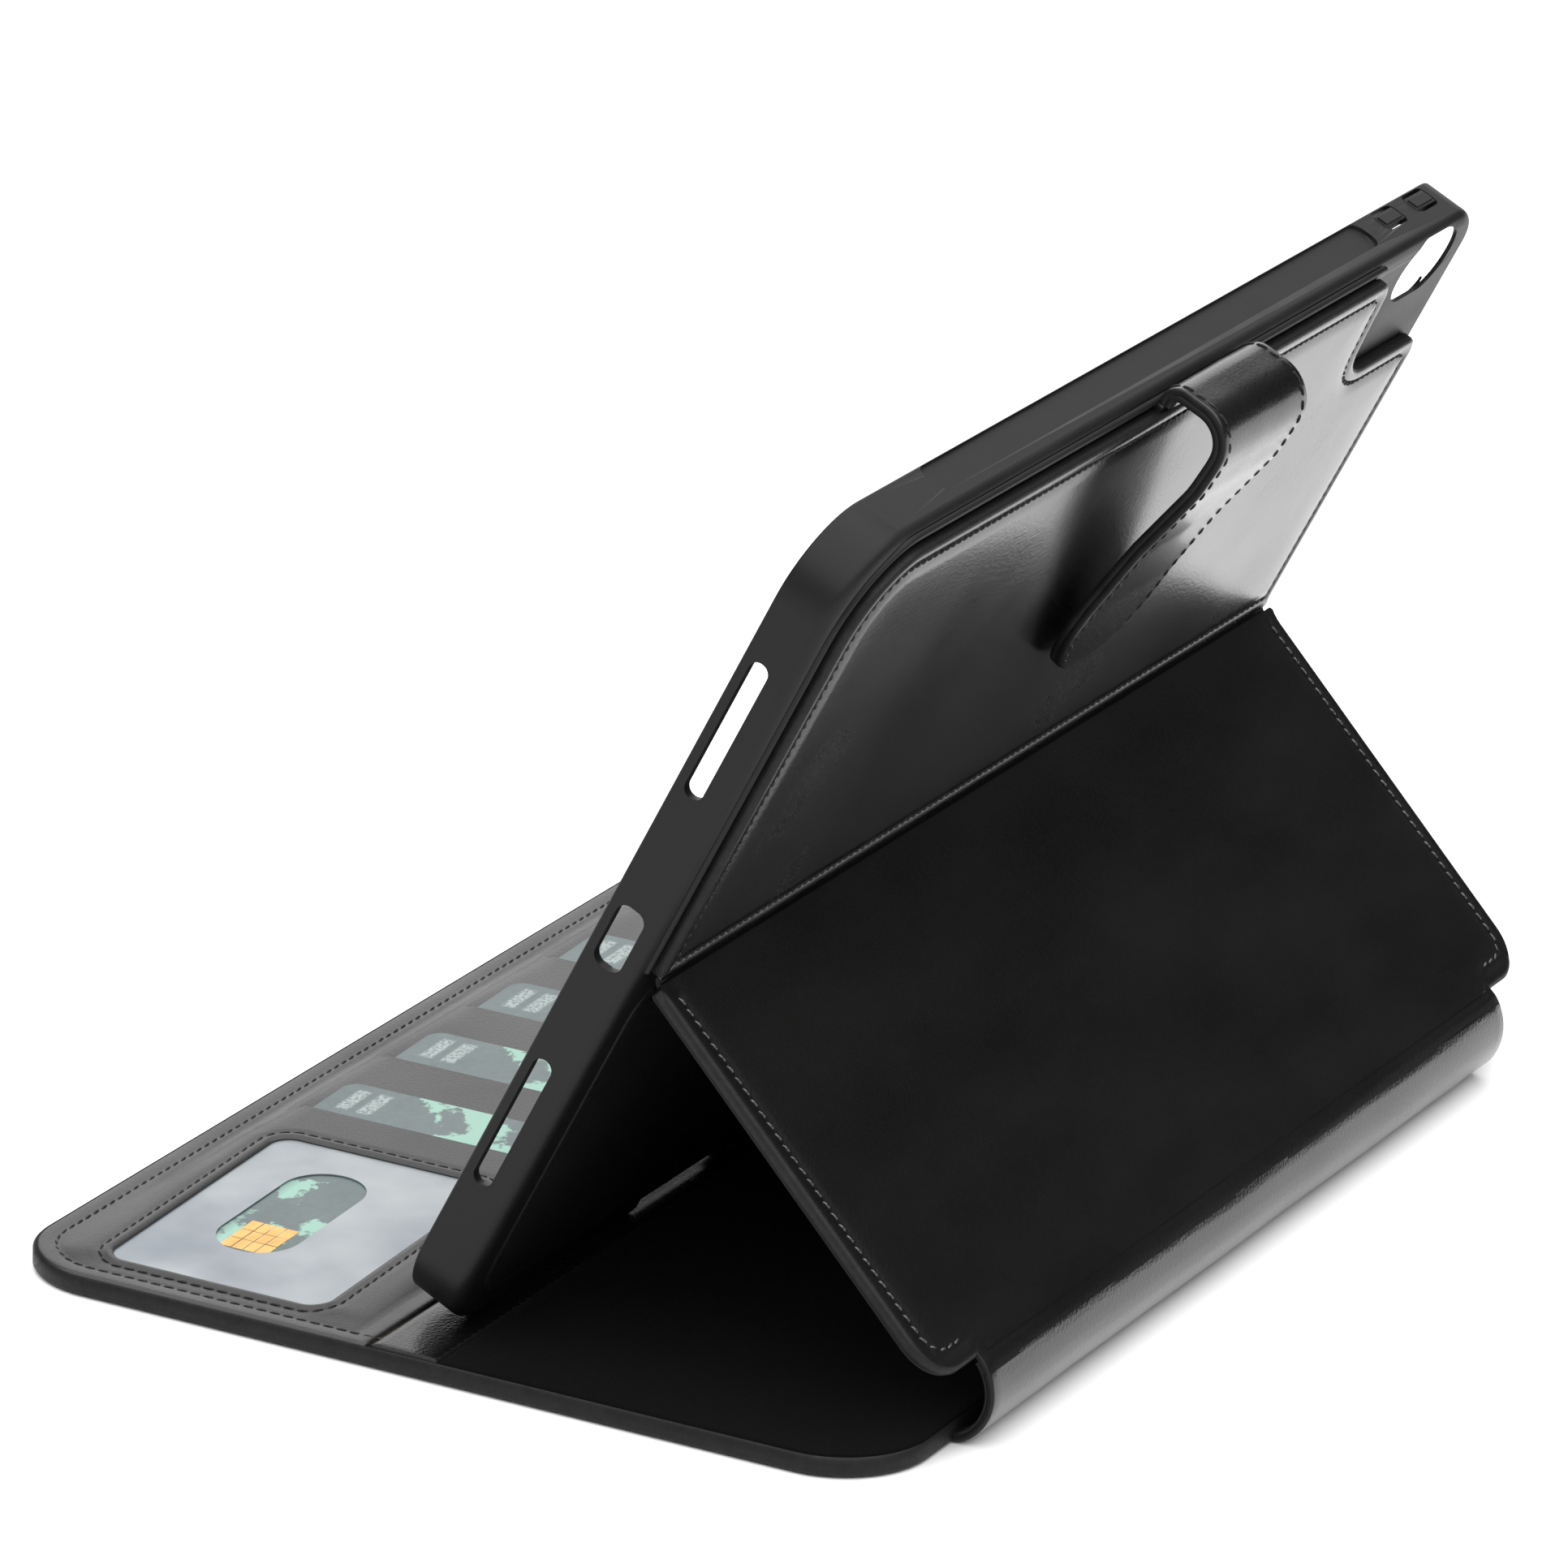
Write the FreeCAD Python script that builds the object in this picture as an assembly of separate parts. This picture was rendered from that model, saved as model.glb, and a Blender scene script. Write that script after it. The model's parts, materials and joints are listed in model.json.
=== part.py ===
import FreeCAD, Part

import math
import os

from FreeCAD import Placement, Rotation, Vector

# Folding leather tablet case, standing open as a stand. Millimetres.
# Frame: +X along the hinge lines, -Y towards the cover's free edge, +Z up.
# Origin: on the floor, under the middle of the standing case.

# ---- driving dimensions -------------------------------------------------
CASE_DEPTH = 191.6          # free edge of the cover to the back of the spine
COVER_X = 269.0             # cover, along the hinge lines
COVER_Y = 183.8             # cover, free edge to spine
COVER_R = 18.0              # cover's corner radius
LEATHER = 1.4               # outer leather of the cover
BOARD = 1.4                 # stiffening board of the cover
LINING = 1.4                # inner layer of the cover
HEM = 4.0                   # leather left around each board

TILT = 63.7                 # tray's back above the horizontal, degrees
TRAY_X = 252.0
TRAY_S = 183.0              # tray, foot to top, along the slope
TRAY_DEPTH = 11.4           # open rim to back
TRAY_R = 16.0               # corner radius seen from the back
TRAY_CAMERA_R = 8.0         # fuller corner at the camera
TRAY_EDGE = 2.4             # rounding of the back's edges
TRAY_RIM_EDGE = 0.6         # rounding of the open rim
TRAY_RIM = (78.15, 8.8)     # foot of the open rim: from the free edge, above the floor
WALL = 2.0                  # side walls
LIP_DEPTH, LIP_WIDTH = 1.4, 3.6
TABLET_DEPTH = 6.2
TRAY_LINING = 0.5
STEEL = 0.6
CAMERA_X = (-118.5, -96.0)  # camera hole, along X and up the slope
CAMERA_S = (167.4, 182.2)
BUMP_ROOM = (2.5, 6.0)      # room inside for the camera's bump: beyond the hole in X, and below it
BUMP_DEPTH = 10.6
LOCK_KEY = (154.0, 178.0, 2.0, 10.2)    # cut for the lock key: slope from and to, depth from and to
KEY_X = {"volume_up_button": (-116.0, -108.0), "volume_down_button": (-102.6, -94.6)}
BUTTON_D = (1.4, 4.9)       # a button's width, from the rim
BUTTON_SLIT = 0.8           # slit on each long side of a button
BUTTON_GAP = 0.35           # slit on each short side
BUTTON_TAB, BUTTON_PAD = 1.4, 0.3       # thickness of its tab, and of the pad on it
PENCIL_RECESS = (-88.0, 89.0, 0.4, 7.1, 0.6)    # in the top wall: x, depth from the rim, how deep
FOOT_SLOT = (22.0, 54.0, 6.4, 4.2)      # in the lower edge: x, depth from the rim, height
STEEL_PLATE, STEEL_R = (-95.0, 95.0, 22.0, 70.0), 6.0   # x, slope
INLAY_SIDE, INLAY_FOOT, INLAY_GAP, INLAY = 7.0, 6.0, 3.0, 0.5   # inlay on the lower half of the back
INLAY_R = 10.0

PANEL_X = 243.2             # leather panel on the upper half of the back
PANEL_TOP = 180.0           # its top edge, up the slope
PANEL_R = 16.0
PANEL_SKIN = 14.4           # its outer skin, from the tray's rim
PANEL_BOARD, PANEL_FOAM = 1.2, 0.8
CREASE = 87.0               # fold between panel and kickstand, up the slope

KICK_X = 245.6
KICK_R = 9.0
KICK_FOOT = (188.2, 17.9)   # outer foot edge: from the cover's free edge, above the floor
KICK_LEATHER, KICK_BOARD, KICK_LINING = 1.0, 1.1, 0.5
KICK_MAGNET_X = (-75.0, -25.0, 25.0, 75.0)
KICK_MAGNET_S, KICK_MAGNET_R = 40.0, 6.0        # up the kickstand
KICK_LINING_INSET = 0.4
FOLD_GAP = 0.3              # each leaf stops this short of its fold line

SPINE_X = 215.0
SPINE_R = 11.0              # outer radius of the soft spine
SPINE_MID = 10.3            # height of its centre
SPINE_ARC = (-62.0, 40.0)   # where it starts and ends, degrees
SPINE_LEATHER, SPINE_LINING = 1.1, 0.7

NOTCH_X, NOTCH_S = -84.0, 155.0         # corner left out of the panel, for the camera
NOTCH_SLANT = 4.0           # its upright edge leans by this
STRAP_X = 34.0
STRAP_MID = -4.0            # middle of the strap along X
STRAP_PLY = 1.4             # each of its two plies
STRAP_TIP, STRAP_TIP_R = 119.0, 14.5    # free end, up the slope, and its corner radius
# Middle line of the strap as (up the slope, out from the rim, bend radius).
STRAP_NECK = [(182.4, 13.1, 0), (185.1, 13.3, 2.6), (185.1, 26.5, 6.6), (178.4, 26.5, 0)]
STRAP_TAB = [(177.6, 26.5, 0), (170.5, 26.0, 20.0), (154.0, 21.9, 40.0), (137.5, 19.1, 30.0),
             (STRAP_TIP, 17.0, 0)]
ANCHOR_S = (162.0, 181.6)   # strap's sewn end under the panel, up the slope
ANCHOR = 1.7
STRAP_MAGNET_X = (-9.0, 9.0)            # from the strap's middle

CARD_X, CARD_Y, CARD_Z, CARD_R = 85.6, 54.0, 0.76, 3.2
CARD_MID = 42.1             # cards' centre line, from the free edge
CARD_BASE = 3.2             # height of the closed end of the lowest pocket
CARD_STEP = 31.7            # from one pocket mouth to the next
CARD_LAYER = 1.2            # rise from one pocket to the next
CARD_SHOWS = 16.0           # card left out of its pocket
FIRST_MOUTH = 48.4          # X of the window pocket's mouth
CARDS = 5
SLIP = 0.045                # play above and below a card
CARD_TILT = math.atan(CARD_LAYER / CARD_STEP)
PLY = CARD_LAYER * math.cos(CARD_TILT) - CARD_Z - 2 * SLIP      # pocket ply between two cards
POCKET_SEAM = 2.5           # sewn side of a pocket, beyond the card
POCKET_Y = CARD_Y + 2 * POCKET_SEAM
POCKET_END = 130.8          # +X end of the pockets
FILM, FRAME = 0.2, 0.7      # clear film and leather frame of the window
WINDOW_MARGIN = (13.6, 6.1)             # frame left on the mouth's side and on the far side
WINDOW_Y = (-24.6, 21.4)    # opening in the frame, from the cards' centre line
WINDOW_R = 4.0
FILM_UNDER = 2.0            # film held under the frame beyond the window
BACKING_FLAT, BACKING_RAMP = 2.0, 12.0      # backing beyond the last card: level part and ramp
POCKET_DEPTH = 78.0         # document pocket, from the free edge to its mouth
LANDING = 15.0              # strip the tray's foot stands on, behind the pocket's mouth
LANDING_GAP, LANDING_RISE = 1.2, 0.3
MAGNET_R = 5.0              # closure and strap magnets
CLOSURE_X = (-13.0, 0.0, 13.0)          # magnets in the cover, from the strap's middle
CLOSURE_Y = 11.0            # from the free edge
THUMB_X, THUMB_Y, THUMB_R = (23.1, 61.6), (-13.4, 3.1), 8.2     # thumb hole in the film, from the mouth

# ---- worked out ---------------------------------------------------------
FREE_EDGE = -CASE_DEPTH / 2
COVER_TOP = LEATHER + BOARD + LINING
POCKET_EDGE = FREE_EDGE + POCKET_DEPTH
LANDING_EDGE = POCKET_EDGE + LANDING
COVER_BACK = FREE_EDGE + COVER_Y
TILT_RAD = math.radians(TILT)
UP = Vector(0, math.cos(TILT_RAD), math.sin(TILT_RAD))
OUT = Vector(0, math.sin(TILT_RAD), -math.cos(TILT_RAD))
TRAY_FOOT = Vector(0, FREE_EDGE + TRAY_RIM[0], TRAY_RIM[1])
TRAY_PLACE = Placement(TRAY_FOOT, Rotation(Vector(1, 0, 0), TILT))
CREASE_POINT = TRAY_FOOT + UP * CREASE + OUT * PANEL_SKIN
KICK_POINT = Vector(0, FREE_EDGE + KICK_FOOT[0], KICK_FOOT[1])
KICK_S = (CREASE_POINT - KICK_POINT).Length
KICK_RISE = CREASE_POINT - KICK_POINT
KICK_ANGLE = math.degrees(math.atan2(KICK_RISE.z, KICK_RISE.y))
KICK_PLACE = Placement(KICK_POINT, Rotation(Vector(1, 0, 0), KICK_ANGLE))
KICK_DEPTH = KICK_LEATHER + KICK_BOARD + KICK_LINING
CAVITY_BACK = LIP_DEPTH + TABLET_DEPTH
STRAP_X0, STRAP_X1 = STRAP_MID - STRAP_X / 2, STRAP_MID + STRAP_X / 2
PIECES = {}


# ---- helpers ------------------------------------------------------------
def corner_arc(before, here, after, radius):
    """Start, middle and end of the arc that rounds one corner."""
    back = (before - here).normalize()
    ahead = (after - here).normalize()
    half = back.getAngle(ahead) / 2
    reach = radius / math.tan(half)
    middle = (back + ahead).normalize() * (radius / math.sin(half) - radius)
    return here + back * reach, here + middle, here + ahead * reach


def outline(corners):
    """Face through the corners (x, y, radius), each one rounded."""
    points = [Vector(x, y, 0) for x, y, _ in corners]
    turns = []
    for i, (_, _, radius) in enumerate(corners):
        here = points[i]
        if radius > 0:
            after = points[(i + 1) % len(points)]
            turns.append(corner_arc(points[i - 1], here, after, radius))
        else:
            turns.append((here, here, here))
    edges = []
    for i, (start, middle, end) in enumerate(turns):
        if (end - start).Length > 1e-6:
            edges.append(Part.Arc(start, middle, end).toShape())
        following = turns[(i + 1) % len(turns)][0]
        if (following - end).Length > 1e-6:
            edges.append(Part.makeLine(end, following))
    return Part.Face(Part.Wire(edges))


def plate(corners, low, high):
    """Solid of the rounded outline between two heights."""
    face = outline(corners)
    face.translate(Vector(0, 0, low))
    return face.extrude(Vector(0, 0, high - low))


def box_corners(x0, x1, y0, y1, radius):
    """Corners of a rounded rectangle."""
    return [(x0, y0, radius), (x1, y0, radius), (x1, y1, radius), (x0, y1, radius)]


def slab(x0, x1, y0, y1, low, high, radius):
    """Rounded rectangular plate."""
    return plate(box_corners(x0, x1, y0, y1, radius), low, high)


def block(x0, x1, y0, y1, z0, z1):
    """Plain rectangular block."""
    return Part.makeBox(x1 - x0, y1 - y0, z1 - z0, Vector(x0, y0, z0))


def discs(centres, radius, low, high):
    """Group of equal discs standing on one level."""
    return Part.makeCompound([Part.makeCylinder(radius, high - low, Vector(x, y, low))
                              for x, y in centres])


def sideways(path, shift):
    """The rounded path (u, v, radius) moved to its left by shift."""
    points = [Vector(u, v, 0) for u, v, _ in path]
    runs = [(b - a).normalize() for a, b in zip(points, points[1:])]
    left = [Vector(-run.y, run.x, 0) for run in runs]
    first = points[0] + left[0] * shift
    moved = [(first.x, first.y, 0)]
    for i in range(1, len(points) - 1):
        both = left[i - 1] + left[i]
        point = points[i] + both * (shift / (1 + left[i - 1].dot(left[i])))
        turns_left = runs[i - 1].cross(runs[i]).z > 0
        radius = path[i][2] - shift if turns_left else path[i][2] + shift
        moved.append((point.x, point.y, radius))
    last = points[-1] + left[-1] * shift
    moved.append((last.x, last.y, 0))
    return moved


def band(path, inner, outer):
    """Face between two sideways copies of a rounded path."""
    return outline(sideways(path, inner) + sideways(path, outer)[::-1])


def across(face, x0, x1):
    """Section drawn as (up the slope, out from the rim), extruded along X in the tray frame."""
    face.rotate(Vector(0, 0, 0), Vector(0, 0, 1), 90)
    face.rotate(Vector(0, 0, 0), Vector(0, 1, 0), -90)
    face.translate(Vector(x0, 0, 0))
    return face.extrude(Vector(x1 - x0, 0, 0))


def long_wall_cut(x0, x1, d0, d1, s0, s1, radius):
    """Rounded cut through a long wall, drawn as (x, out from the rim), between two slope heights."""
    cut = slab(x0, x1, d0, d1, s0, s1, radius)
    cut.rotate(Vector(0, 0, 0), Vector(1, 0, 0), -90)
    return cut


def in_tray(shape):
    """Tray frame (x, up the slope, towards the open front) to the row frame."""
    moved = shape.copy()
    moved.Placement = TRAY_PLACE.multiply(moved.Placement)
    return moved


def in_kick(shape):
    """Kickstand frame (x, up from its foot, inwards) to the row frame."""
    moved = shape.copy()
    moved.Placement = KICK_PLACE.multiply(moved.Placement)
    return moved


def keep(name, shape):
    """Store one sub-part."""
    PIECES[name] = shape


# ---- front cover --------------------------------------------------------
def cover_corners(inset):
    """Outline of the cover, drawn in by inset."""
    half = COVER_X / 2 - inset
    return box_corners(-half, half, FREE_EDGE + inset, COVER_BACK - inset, COVER_R - inset)


def make_cover():
    low, high = LEATHER, LEATHER + BOARD
    well = plate(cover_corners(HEM), low, high)
    leather = plate(cover_corners(0), 0, high).cut(well)
    magnets = discs([(STRAP_MID + dx, FREE_EDGE + CLOSURE_Y) for dx in CLOSURE_X], MAGNET_R, low, high)
    keep("cover_outer_leather", leather)
    keep("cover_board", well.cut(magnets))
    keep("cover_magnets", magnets)
    half = COVER_X / 2
    inner = plate(cover_corners(0), high, COVER_TOP)
    suede = inner.common(block(-half, half, LANDING_EDGE, COVER_BACK, high, COVER_TOP))
    keep("cover_suede_lining", suede)
    start = POCKET_EDGE + LANDING_GAP
    strip = block(-half, half, start, LANDING_EDGE, high, COVER_TOP)
    raised = block(-half + HEM, half - HEM, start, LANDING_EDGE, COVER_TOP, COVER_TOP + LANDING_RISE)
    keep("cover_landing_strip", strip.fuse(raised).removeSplitter())
    pocket = inner.common(block(-half, half, FREE_EDGE, POCKET_EDGE, high, COVER_TOP))
    room = block(-half + HEM, half - HEM, FREE_EDGE + HEM, POCKET_EDGE, high, high + 0.5)
    middle, side = FREE_EDGE + CARD_MID, POCKET_Y / 2
    end = closed_end(CARDS) - CARD_X - BACKING_FLAT - BACKING_RAMP
    pockets = block(end, POCKET_END + 0.3, middle - side, middle + side, high - 1, COVER_TOP + 1)
    keep("document_pocket_panel", pocket.cut(room).cut(pockets))


# ---- card pockets -------------------------------------------------------
def closed_end(number):
    """X of a pocket's closed end, numbered from 1 at the window."""
    return FIRST_MOUTH - CARD_STEP * (number - 1) + CARD_X - CARD_SHOWS


def on_slope(shape, number):
    """Put a flat piece, drawn from its pocket's closed end, on that pocket's slope."""
    moved = shape.copy()
    base = Vector(closed_end(number), FREE_EDGE + CARD_MID, CARD_BASE + PLY + SLIP)
    moved.Placement = Placement(base, Rotation(Vector(0, 1, 0), math.degrees(CARD_TILT)))
    return moved


def side_seams(x0, x1, high):
    """The two sewn sides of a pocket, from the ply below up to high."""
    outer, inner = POCKET_Y / 2, CARD_Y / 2 + 0.5
    return [block(x0, x1, y0, y1, -SLIP, high) for y0, y1 in ((-outer, -inner), (inner, outer))]


def pocket_ply():
    """Pocket front with its side seams, open at the -X end and below."""
    reach, under = CARD_X - CARD_SHOWS, CARD_Z + SLIP
    front = block(-reach, -0.5, -POCKET_Y / 2, POCKET_Y / 2, under, under + PLY)
    return front.fuse(side_seams(-reach, -0.5, under)).removeSplitter()


def make_backing():
    """Leather under the pockets, raised to carry the lowest card at their slope."""
    end = closed_end(CARDS)
    far = end - CARD_X - BACKING_FLAT
    low, flat = LEATHER + BOARD, CARD_BASE + PLY
    rise = math.tan(CARD_TILT) * (end - far)
    profile = [(POCKET_END, low), (POCKET_END, flat), (end, flat), (far, flat + rise),
               (far - BACKING_RAMP, COVER_TOP), (far - BACKING_RAMP, low)]
    points = [Vector(x, 0, z) for x, z in profile]
    face = Part.Face(Part.makePolygon(points + points[:1]))
    face.translate(Vector(0, FREE_EDGE + CARD_MID - POCKET_Y / 2, 0))
    return face.extrude(Vector(0, POCKET_Y, 0))


def make_window():
    """Top pocket: leather frame with a clear film over the first card."""
    reach, under = CARD_X - CARD_SHOWS, CARD_Z + SLIP
    right = POCKET_END - closed_end(1)
    top = under + FILM
    frame = slab(-reach, right, -POCKET_Y / 2, POCKET_Y / 2, top, top + FRAME, 1.5)
    mouth_margin, far_margin = WINDOW_MARGIN
    window_end = right - far_margin
    frame = frame.cut(slab(-reach + mouth_margin, window_end, *WINDOW_Y, top - 1, top + 2, WINDOW_R))
    film_end = window_end + FILM_UNDER
    end_seam = block(film_end + 0.3, right - 0.5, -POCKET_Y / 2 + 1, POCKET_Y / 2 - 1, -SLIP, top)
    frame = frame.fuse(side_seams(-reach, right - 1.5, top) + [end_seam])
    inner = CARD_Y / 2 + 0.3
    film = slab(-reach + 4.0, film_end, -inner, inner, under, top, 4.0)
    thumb = slab(-reach + THUMB_X[0], -reach + THUMB_X[1], *THUMB_Y, 0, 2, THUMB_R)
    keep("window_pocket_panel", on_slope(frame.removeSplitter(), 1).cut(PIECES["pocket_backing"]))
    keep("window_film", on_slope(film.cut(thumb), 1))


def make_pockets():
    keep("pocket_backing", make_backing())
    half = CARD_Y / 2
    card = slab(-CARD_X, 0, -half, half, 0, CARD_Z, CARD_R)
    for number in range(1, CARDS + 1):
        keep("card_%d" % number, on_slope(card, number))
    for number in range(2, CARDS + 1):
        keep("card_pocket_%d" % number, on_slope(pocket_ply(), number))
    make_window()


# ---- tray ---------------------------------------------------------------
def rounded_shell():
    """Outside of the tray: a rounded plate whose back edges are rounded too."""
    half = TRAY_X / 2
    corners = [(-half, 0, TRAY_R), (half, 0, TRAY_R), (half, TRAY_S, TRAY_R),
               (-half, TRAY_S, TRAY_CAMERA_R)]
    body = plate(corners, -TRAY_DEPTH, 0)
    back_edges = [e for e in body.Edges
                  if all(abs(v.Z + TRAY_DEPTH) < 1e-6 for v in e.Vertexes)]
    body = body.makeFillet(TRAY_EDGE, back_edges)
    rim_edges = [e for e in body.Edges if all(abs(v.Z) < 1e-6 for v in e.Vertexes)]
    return body.makeFillet(TRAY_RIM_EDGE, rim_edges)


def short_wall_cut(side, s0, s1, d0, d1, radius):
    """Rounded cut through the short wall on that side (+1 or -1) of X."""
    middle = side * TRAY_X / 2
    return across(outline(box_corners(s0, s1, d0, d1, radius)), middle - 8.0, middle + 8.0)


# Cuts in the short walls: side, slope from and to, depth from and to, corner radius.
SHORT_WALL_CUTS = [
    (1, 33.0, 62.5, 2.0, 6.0, 1.95),        # speakers
    (1, 124.0, 154.5, 2.0, 6.0, 1.95),
    (1, 85.4, 98.8, 2.0, 8.0, 2.2),         # charging socket
    (-1, 33.0, 62.5, 2.0, 6.0, 1.95),       # speakers
    (-1, 97.0, 127.0, 2.0, 6.0, 1.95),
    (-1, *LOCK_KEY, 2.4),
]


def button_window(x0, x1):
    """Hole in the top wall around one volume button."""
    d0, d1 = BUTTON_D[0] - BUTTON_SLIT, BUTTON_D[1] + BUTTON_SLIT
    return long_wall_cut(x0 - BUTTON_GAP, x1 + BUTTON_GAP, d0, d1, TRAY_S - WALL - 1, TRAY_S + 1, 1.5)


def make_button(x0, x1):
    """Button tab: a raised pad outside and a small nub that meets the tablet's key."""
    mid, rim = (x0 + x1) / 2, 0.6
    near, far = BUTTON_D
    inner = TRAY_S - BUTTON_TAB
    tab = block(x0, x1, inner, TRAY_S, -far, -near)
    pad = block(x0 + rim, x1 - rim, TRAY_S, TRAY_S + BUTTON_PAD, -far + rim, -near - rim)
    nub = block(mid - 2.0, mid + 2.0, inner - 0.4, inner, -far + 1.0, -near - 1.0)
    return tab.fuse(pad).fuse(nub).removeSplitter()


def camera_cuts():
    """Hole through the tray's back at the camera, and the room inside for the camera's bump."""
    (x0, x1), (s0, s1) = CAMERA_X, CAMERA_S
    beyond, below = BUMP_ROOM
    hole = slab(x0, x1, s0, s1, -TRAY_DEPTH - 1, -BUMP_DEPTH + 0.8, (s1 - s0) / 2 - 0.1)
    room = slab(-TRAY_X / 2 + WALL, x1 + beyond, s0 - below, TRAY_S - WALL, -BUMP_DEPTH, -CAVITY_BACK,
                4.0)
    return [hole, room]


def make_tray():
    half = TRAY_X / 2
    inner = half - WALL
    shell = rounded_shell()
    cavity = slab(-inner, inner, WALL, TRAY_S - WALL, -CAVITY_BACK - TRAY_LINING, -LIP_DEPTH,
                  TRAY_R - WALL)
    screen = slab(-half + LIP_WIDTH, half - LIP_WIDTH, LIP_WIDTH, TRAY_S - LIP_WIDTH,
                  -LIP_DEPTH - 1, 1, TRAY_R - LIP_WIDTH)
    shell = shell.cut(cavity).cut(screen)
    lining_z = -CAVITY_BACK - TRAY_LINING
    steel = slab(*STEEL_PLATE, lining_z - STEEL, lining_z, STEEL_R)
    inlay = slab(-half + INLAY_SIDE, half - INLAY_SIDE, INLAY_FOOT, CREASE - INLAY_GAP, -TRAY_DEPTH,
                 -TRAY_DEPTH + INLAY, INLAY_R)
    cuts = [steel, inlay] + camera_cuts()
    for side, s0, s1, d0, d1, radius in SHORT_WALL_CUTS:
        cuts.append(short_wall_cut(side, s0, s1, d0, d1, radius))
    x0, x1, d0, d1, deep = PENCIL_RECESS
    cuts.append(long_wall_cut(x0, x1, d0, d1, TRAY_S - deep, TRAY_S + 1, 2.4))
    x0, x1, d0, high = FOOT_SLOT
    cuts.append(long_wall_cut(x0, x1, d0, TRAY_DEPTH + 1, -1.0, high, 1.0))
    for x0, x1 in KEY_X.values():
        cuts.append(button_window(x0, x1))
    for cut in cuts:
        shell = shell.cut(cut)
    lining = slab(-inner + 0.2, inner - 0.2, WALL + 0.2, TRAY_S - WALL - 0.2, lining_z, -CAVITY_BACK,
                  TRAY_R - WALL - 0.2)
    for cut in camera_cuts():
        lining = lining.cut(cut)
    keep("tray_shell", in_tray(shell))
    keep("tray_lining", in_tray(lining))
    keep("tray_steel_plate", in_tray(steel))
    keep("back_inlay", in_tray(inlay))
    for name, (x0, x1) in KEY_X.items():
        keep(name, in_tray(make_button(x0, x1)))


# ---- leather panel on the tray's upper back -----------------------------
def panel_corners(inset):
    """Outline of the panel, with the camera corner left out."""
    half = PANEL_X / 2 - inset
    top = PANEL_TOP - inset
    low = CREASE + FOLD_GAP + inset
    notch_x = NOTCH_X + inset
    notch_s = NOTCH_S - inset
    return [(half, low, 1.0), (half, top, PANEL_R - inset), (notch_x, top, 4.0),
            (notch_x - NOTCH_SLANT, notch_s, 10.0 + inset), (-half, notch_s, 4.0), (-half, low, 1.0)]


def make_panel():
    back = -TRAY_DEPTH
    skin = -PANEL_SKIN
    board_z = back - PANEL_BOARD
    foam_z = board_z - PANEL_FOAM
    well = plate(panel_corners(HEM), foam_z, back)
    anchor = slab(STRAP_X0, STRAP_X1, *ANCHOR_S, back - ANCHOR, back, 1.0)
    leather = plate(panel_corners(0), skin, back).cut(well).cut(anchor)
    keep("upper_panel_leather", in_tray(leather))
    keep("upper_panel_board", in_tray(plate(panel_corners(HEM), board_z, back).cut(anchor)))
    keep("upper_panel_foam", in_tray(plate(panel_corners(HEM), foam_z, board_z).cut(anchor)))
    keep("strap_anchor", in_tray(anchor))


# ---- closure strap ------------------------------------------------------
def strap_ply(path, inner, outer):
    """One ply of the strap, between two offsets of its middle line."""
    return across(band(path, inner, outer), STRAP_X0, STRAP_X1)


def tab_tip(solid):
    """Round the strap's free end as seen from outside."""
    x0, x1, beyond = STRAP_X0, STRAP_X1, TRAY_S + 20.0
    corners = [(x0, STRAP_TIP, STRAP_TIP_R), (x1, STRAP_TIP, STRAP_TIP_R), (x1, beyond, 0),
               (x0, beyond, 0)]
    return solid.common(plate(corners, -60.0, 0))


def make_strap():
    for part, path in (("neck", STRAP_NECK), ("tab", STRAP_TAB)):
        leather = strap_ply(path, -STRAP_PLY, 0)
        backing = strap_ply(path, 0, STRAP_PLY)
        if part == "tab":
            leather, backing = tab_tip(leather), tab_tip(backing)
            magnets = make_strap_magnets()
            keep("strap_magnets", in_tray(magnets))
            backing = backing.cut(magnets)
        keep("strap_%s_leather" % part, in_tray(leather))
        keep("strap_%s_backing" % part, in_tray(backing))


def make_strap_magnets():
    """Two discs inside the backing, square to the strap's end run."""
    (s0, d0, _), (s1, d1, _) = STRAP_TAB[-2:]
    slope = math.degrees(math.atan2(d0 - d1, s0 - s1))
    pair = discs([(STRAP_MID + dx, 0) for dx in STRAP_MAGNET_X], MAGNET_R, 0.2, 1.2)
    pair.rotate(Vector(0, 0, 0), Vector(1, 0, 0), -slope)
    pair.translate(Vector(0, (s0 + s1) / 2, -(d0 + d1) / 2))
    return pair


# ---- kickstand ----------------------------------------------------------
def kick_corners(inset):
    """Outline of the kickstand leaf, drawn in by inset."""
    half = KICK_X / 2 - inset
    top = KICK_S - FOLD_GAP - inset
    return [(-half, inset, KICK_R - inset), (half, inset, KICK_R - inset), (half, top, 1.0),
            (-half, top, 1.0)]


def make_kick():
    deep = KICK_LEATHER + KICK_BOARD
    well = plate(kick_corners(HEM), KICK_LEATHER, deep)
    magnets = discs([(x, KICK_MAGNET_S) for x in KICK_MAGNET_X], KICK_MAGNET_R, KICK_LEATHER,
                    deep)
    keep("kick_leather", in_kick(plate(kick_corners(0), 0, deep).cut(well)))
    keep("kick_board", in_kick(well.cut(magnets)))
    keep("kick_magnets", in_kick(magnets))
    keep("kick_lining", in_kick(plate(kick_corners(KICK_LINING_INSET), deep, KICK_DEPTH)))


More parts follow.
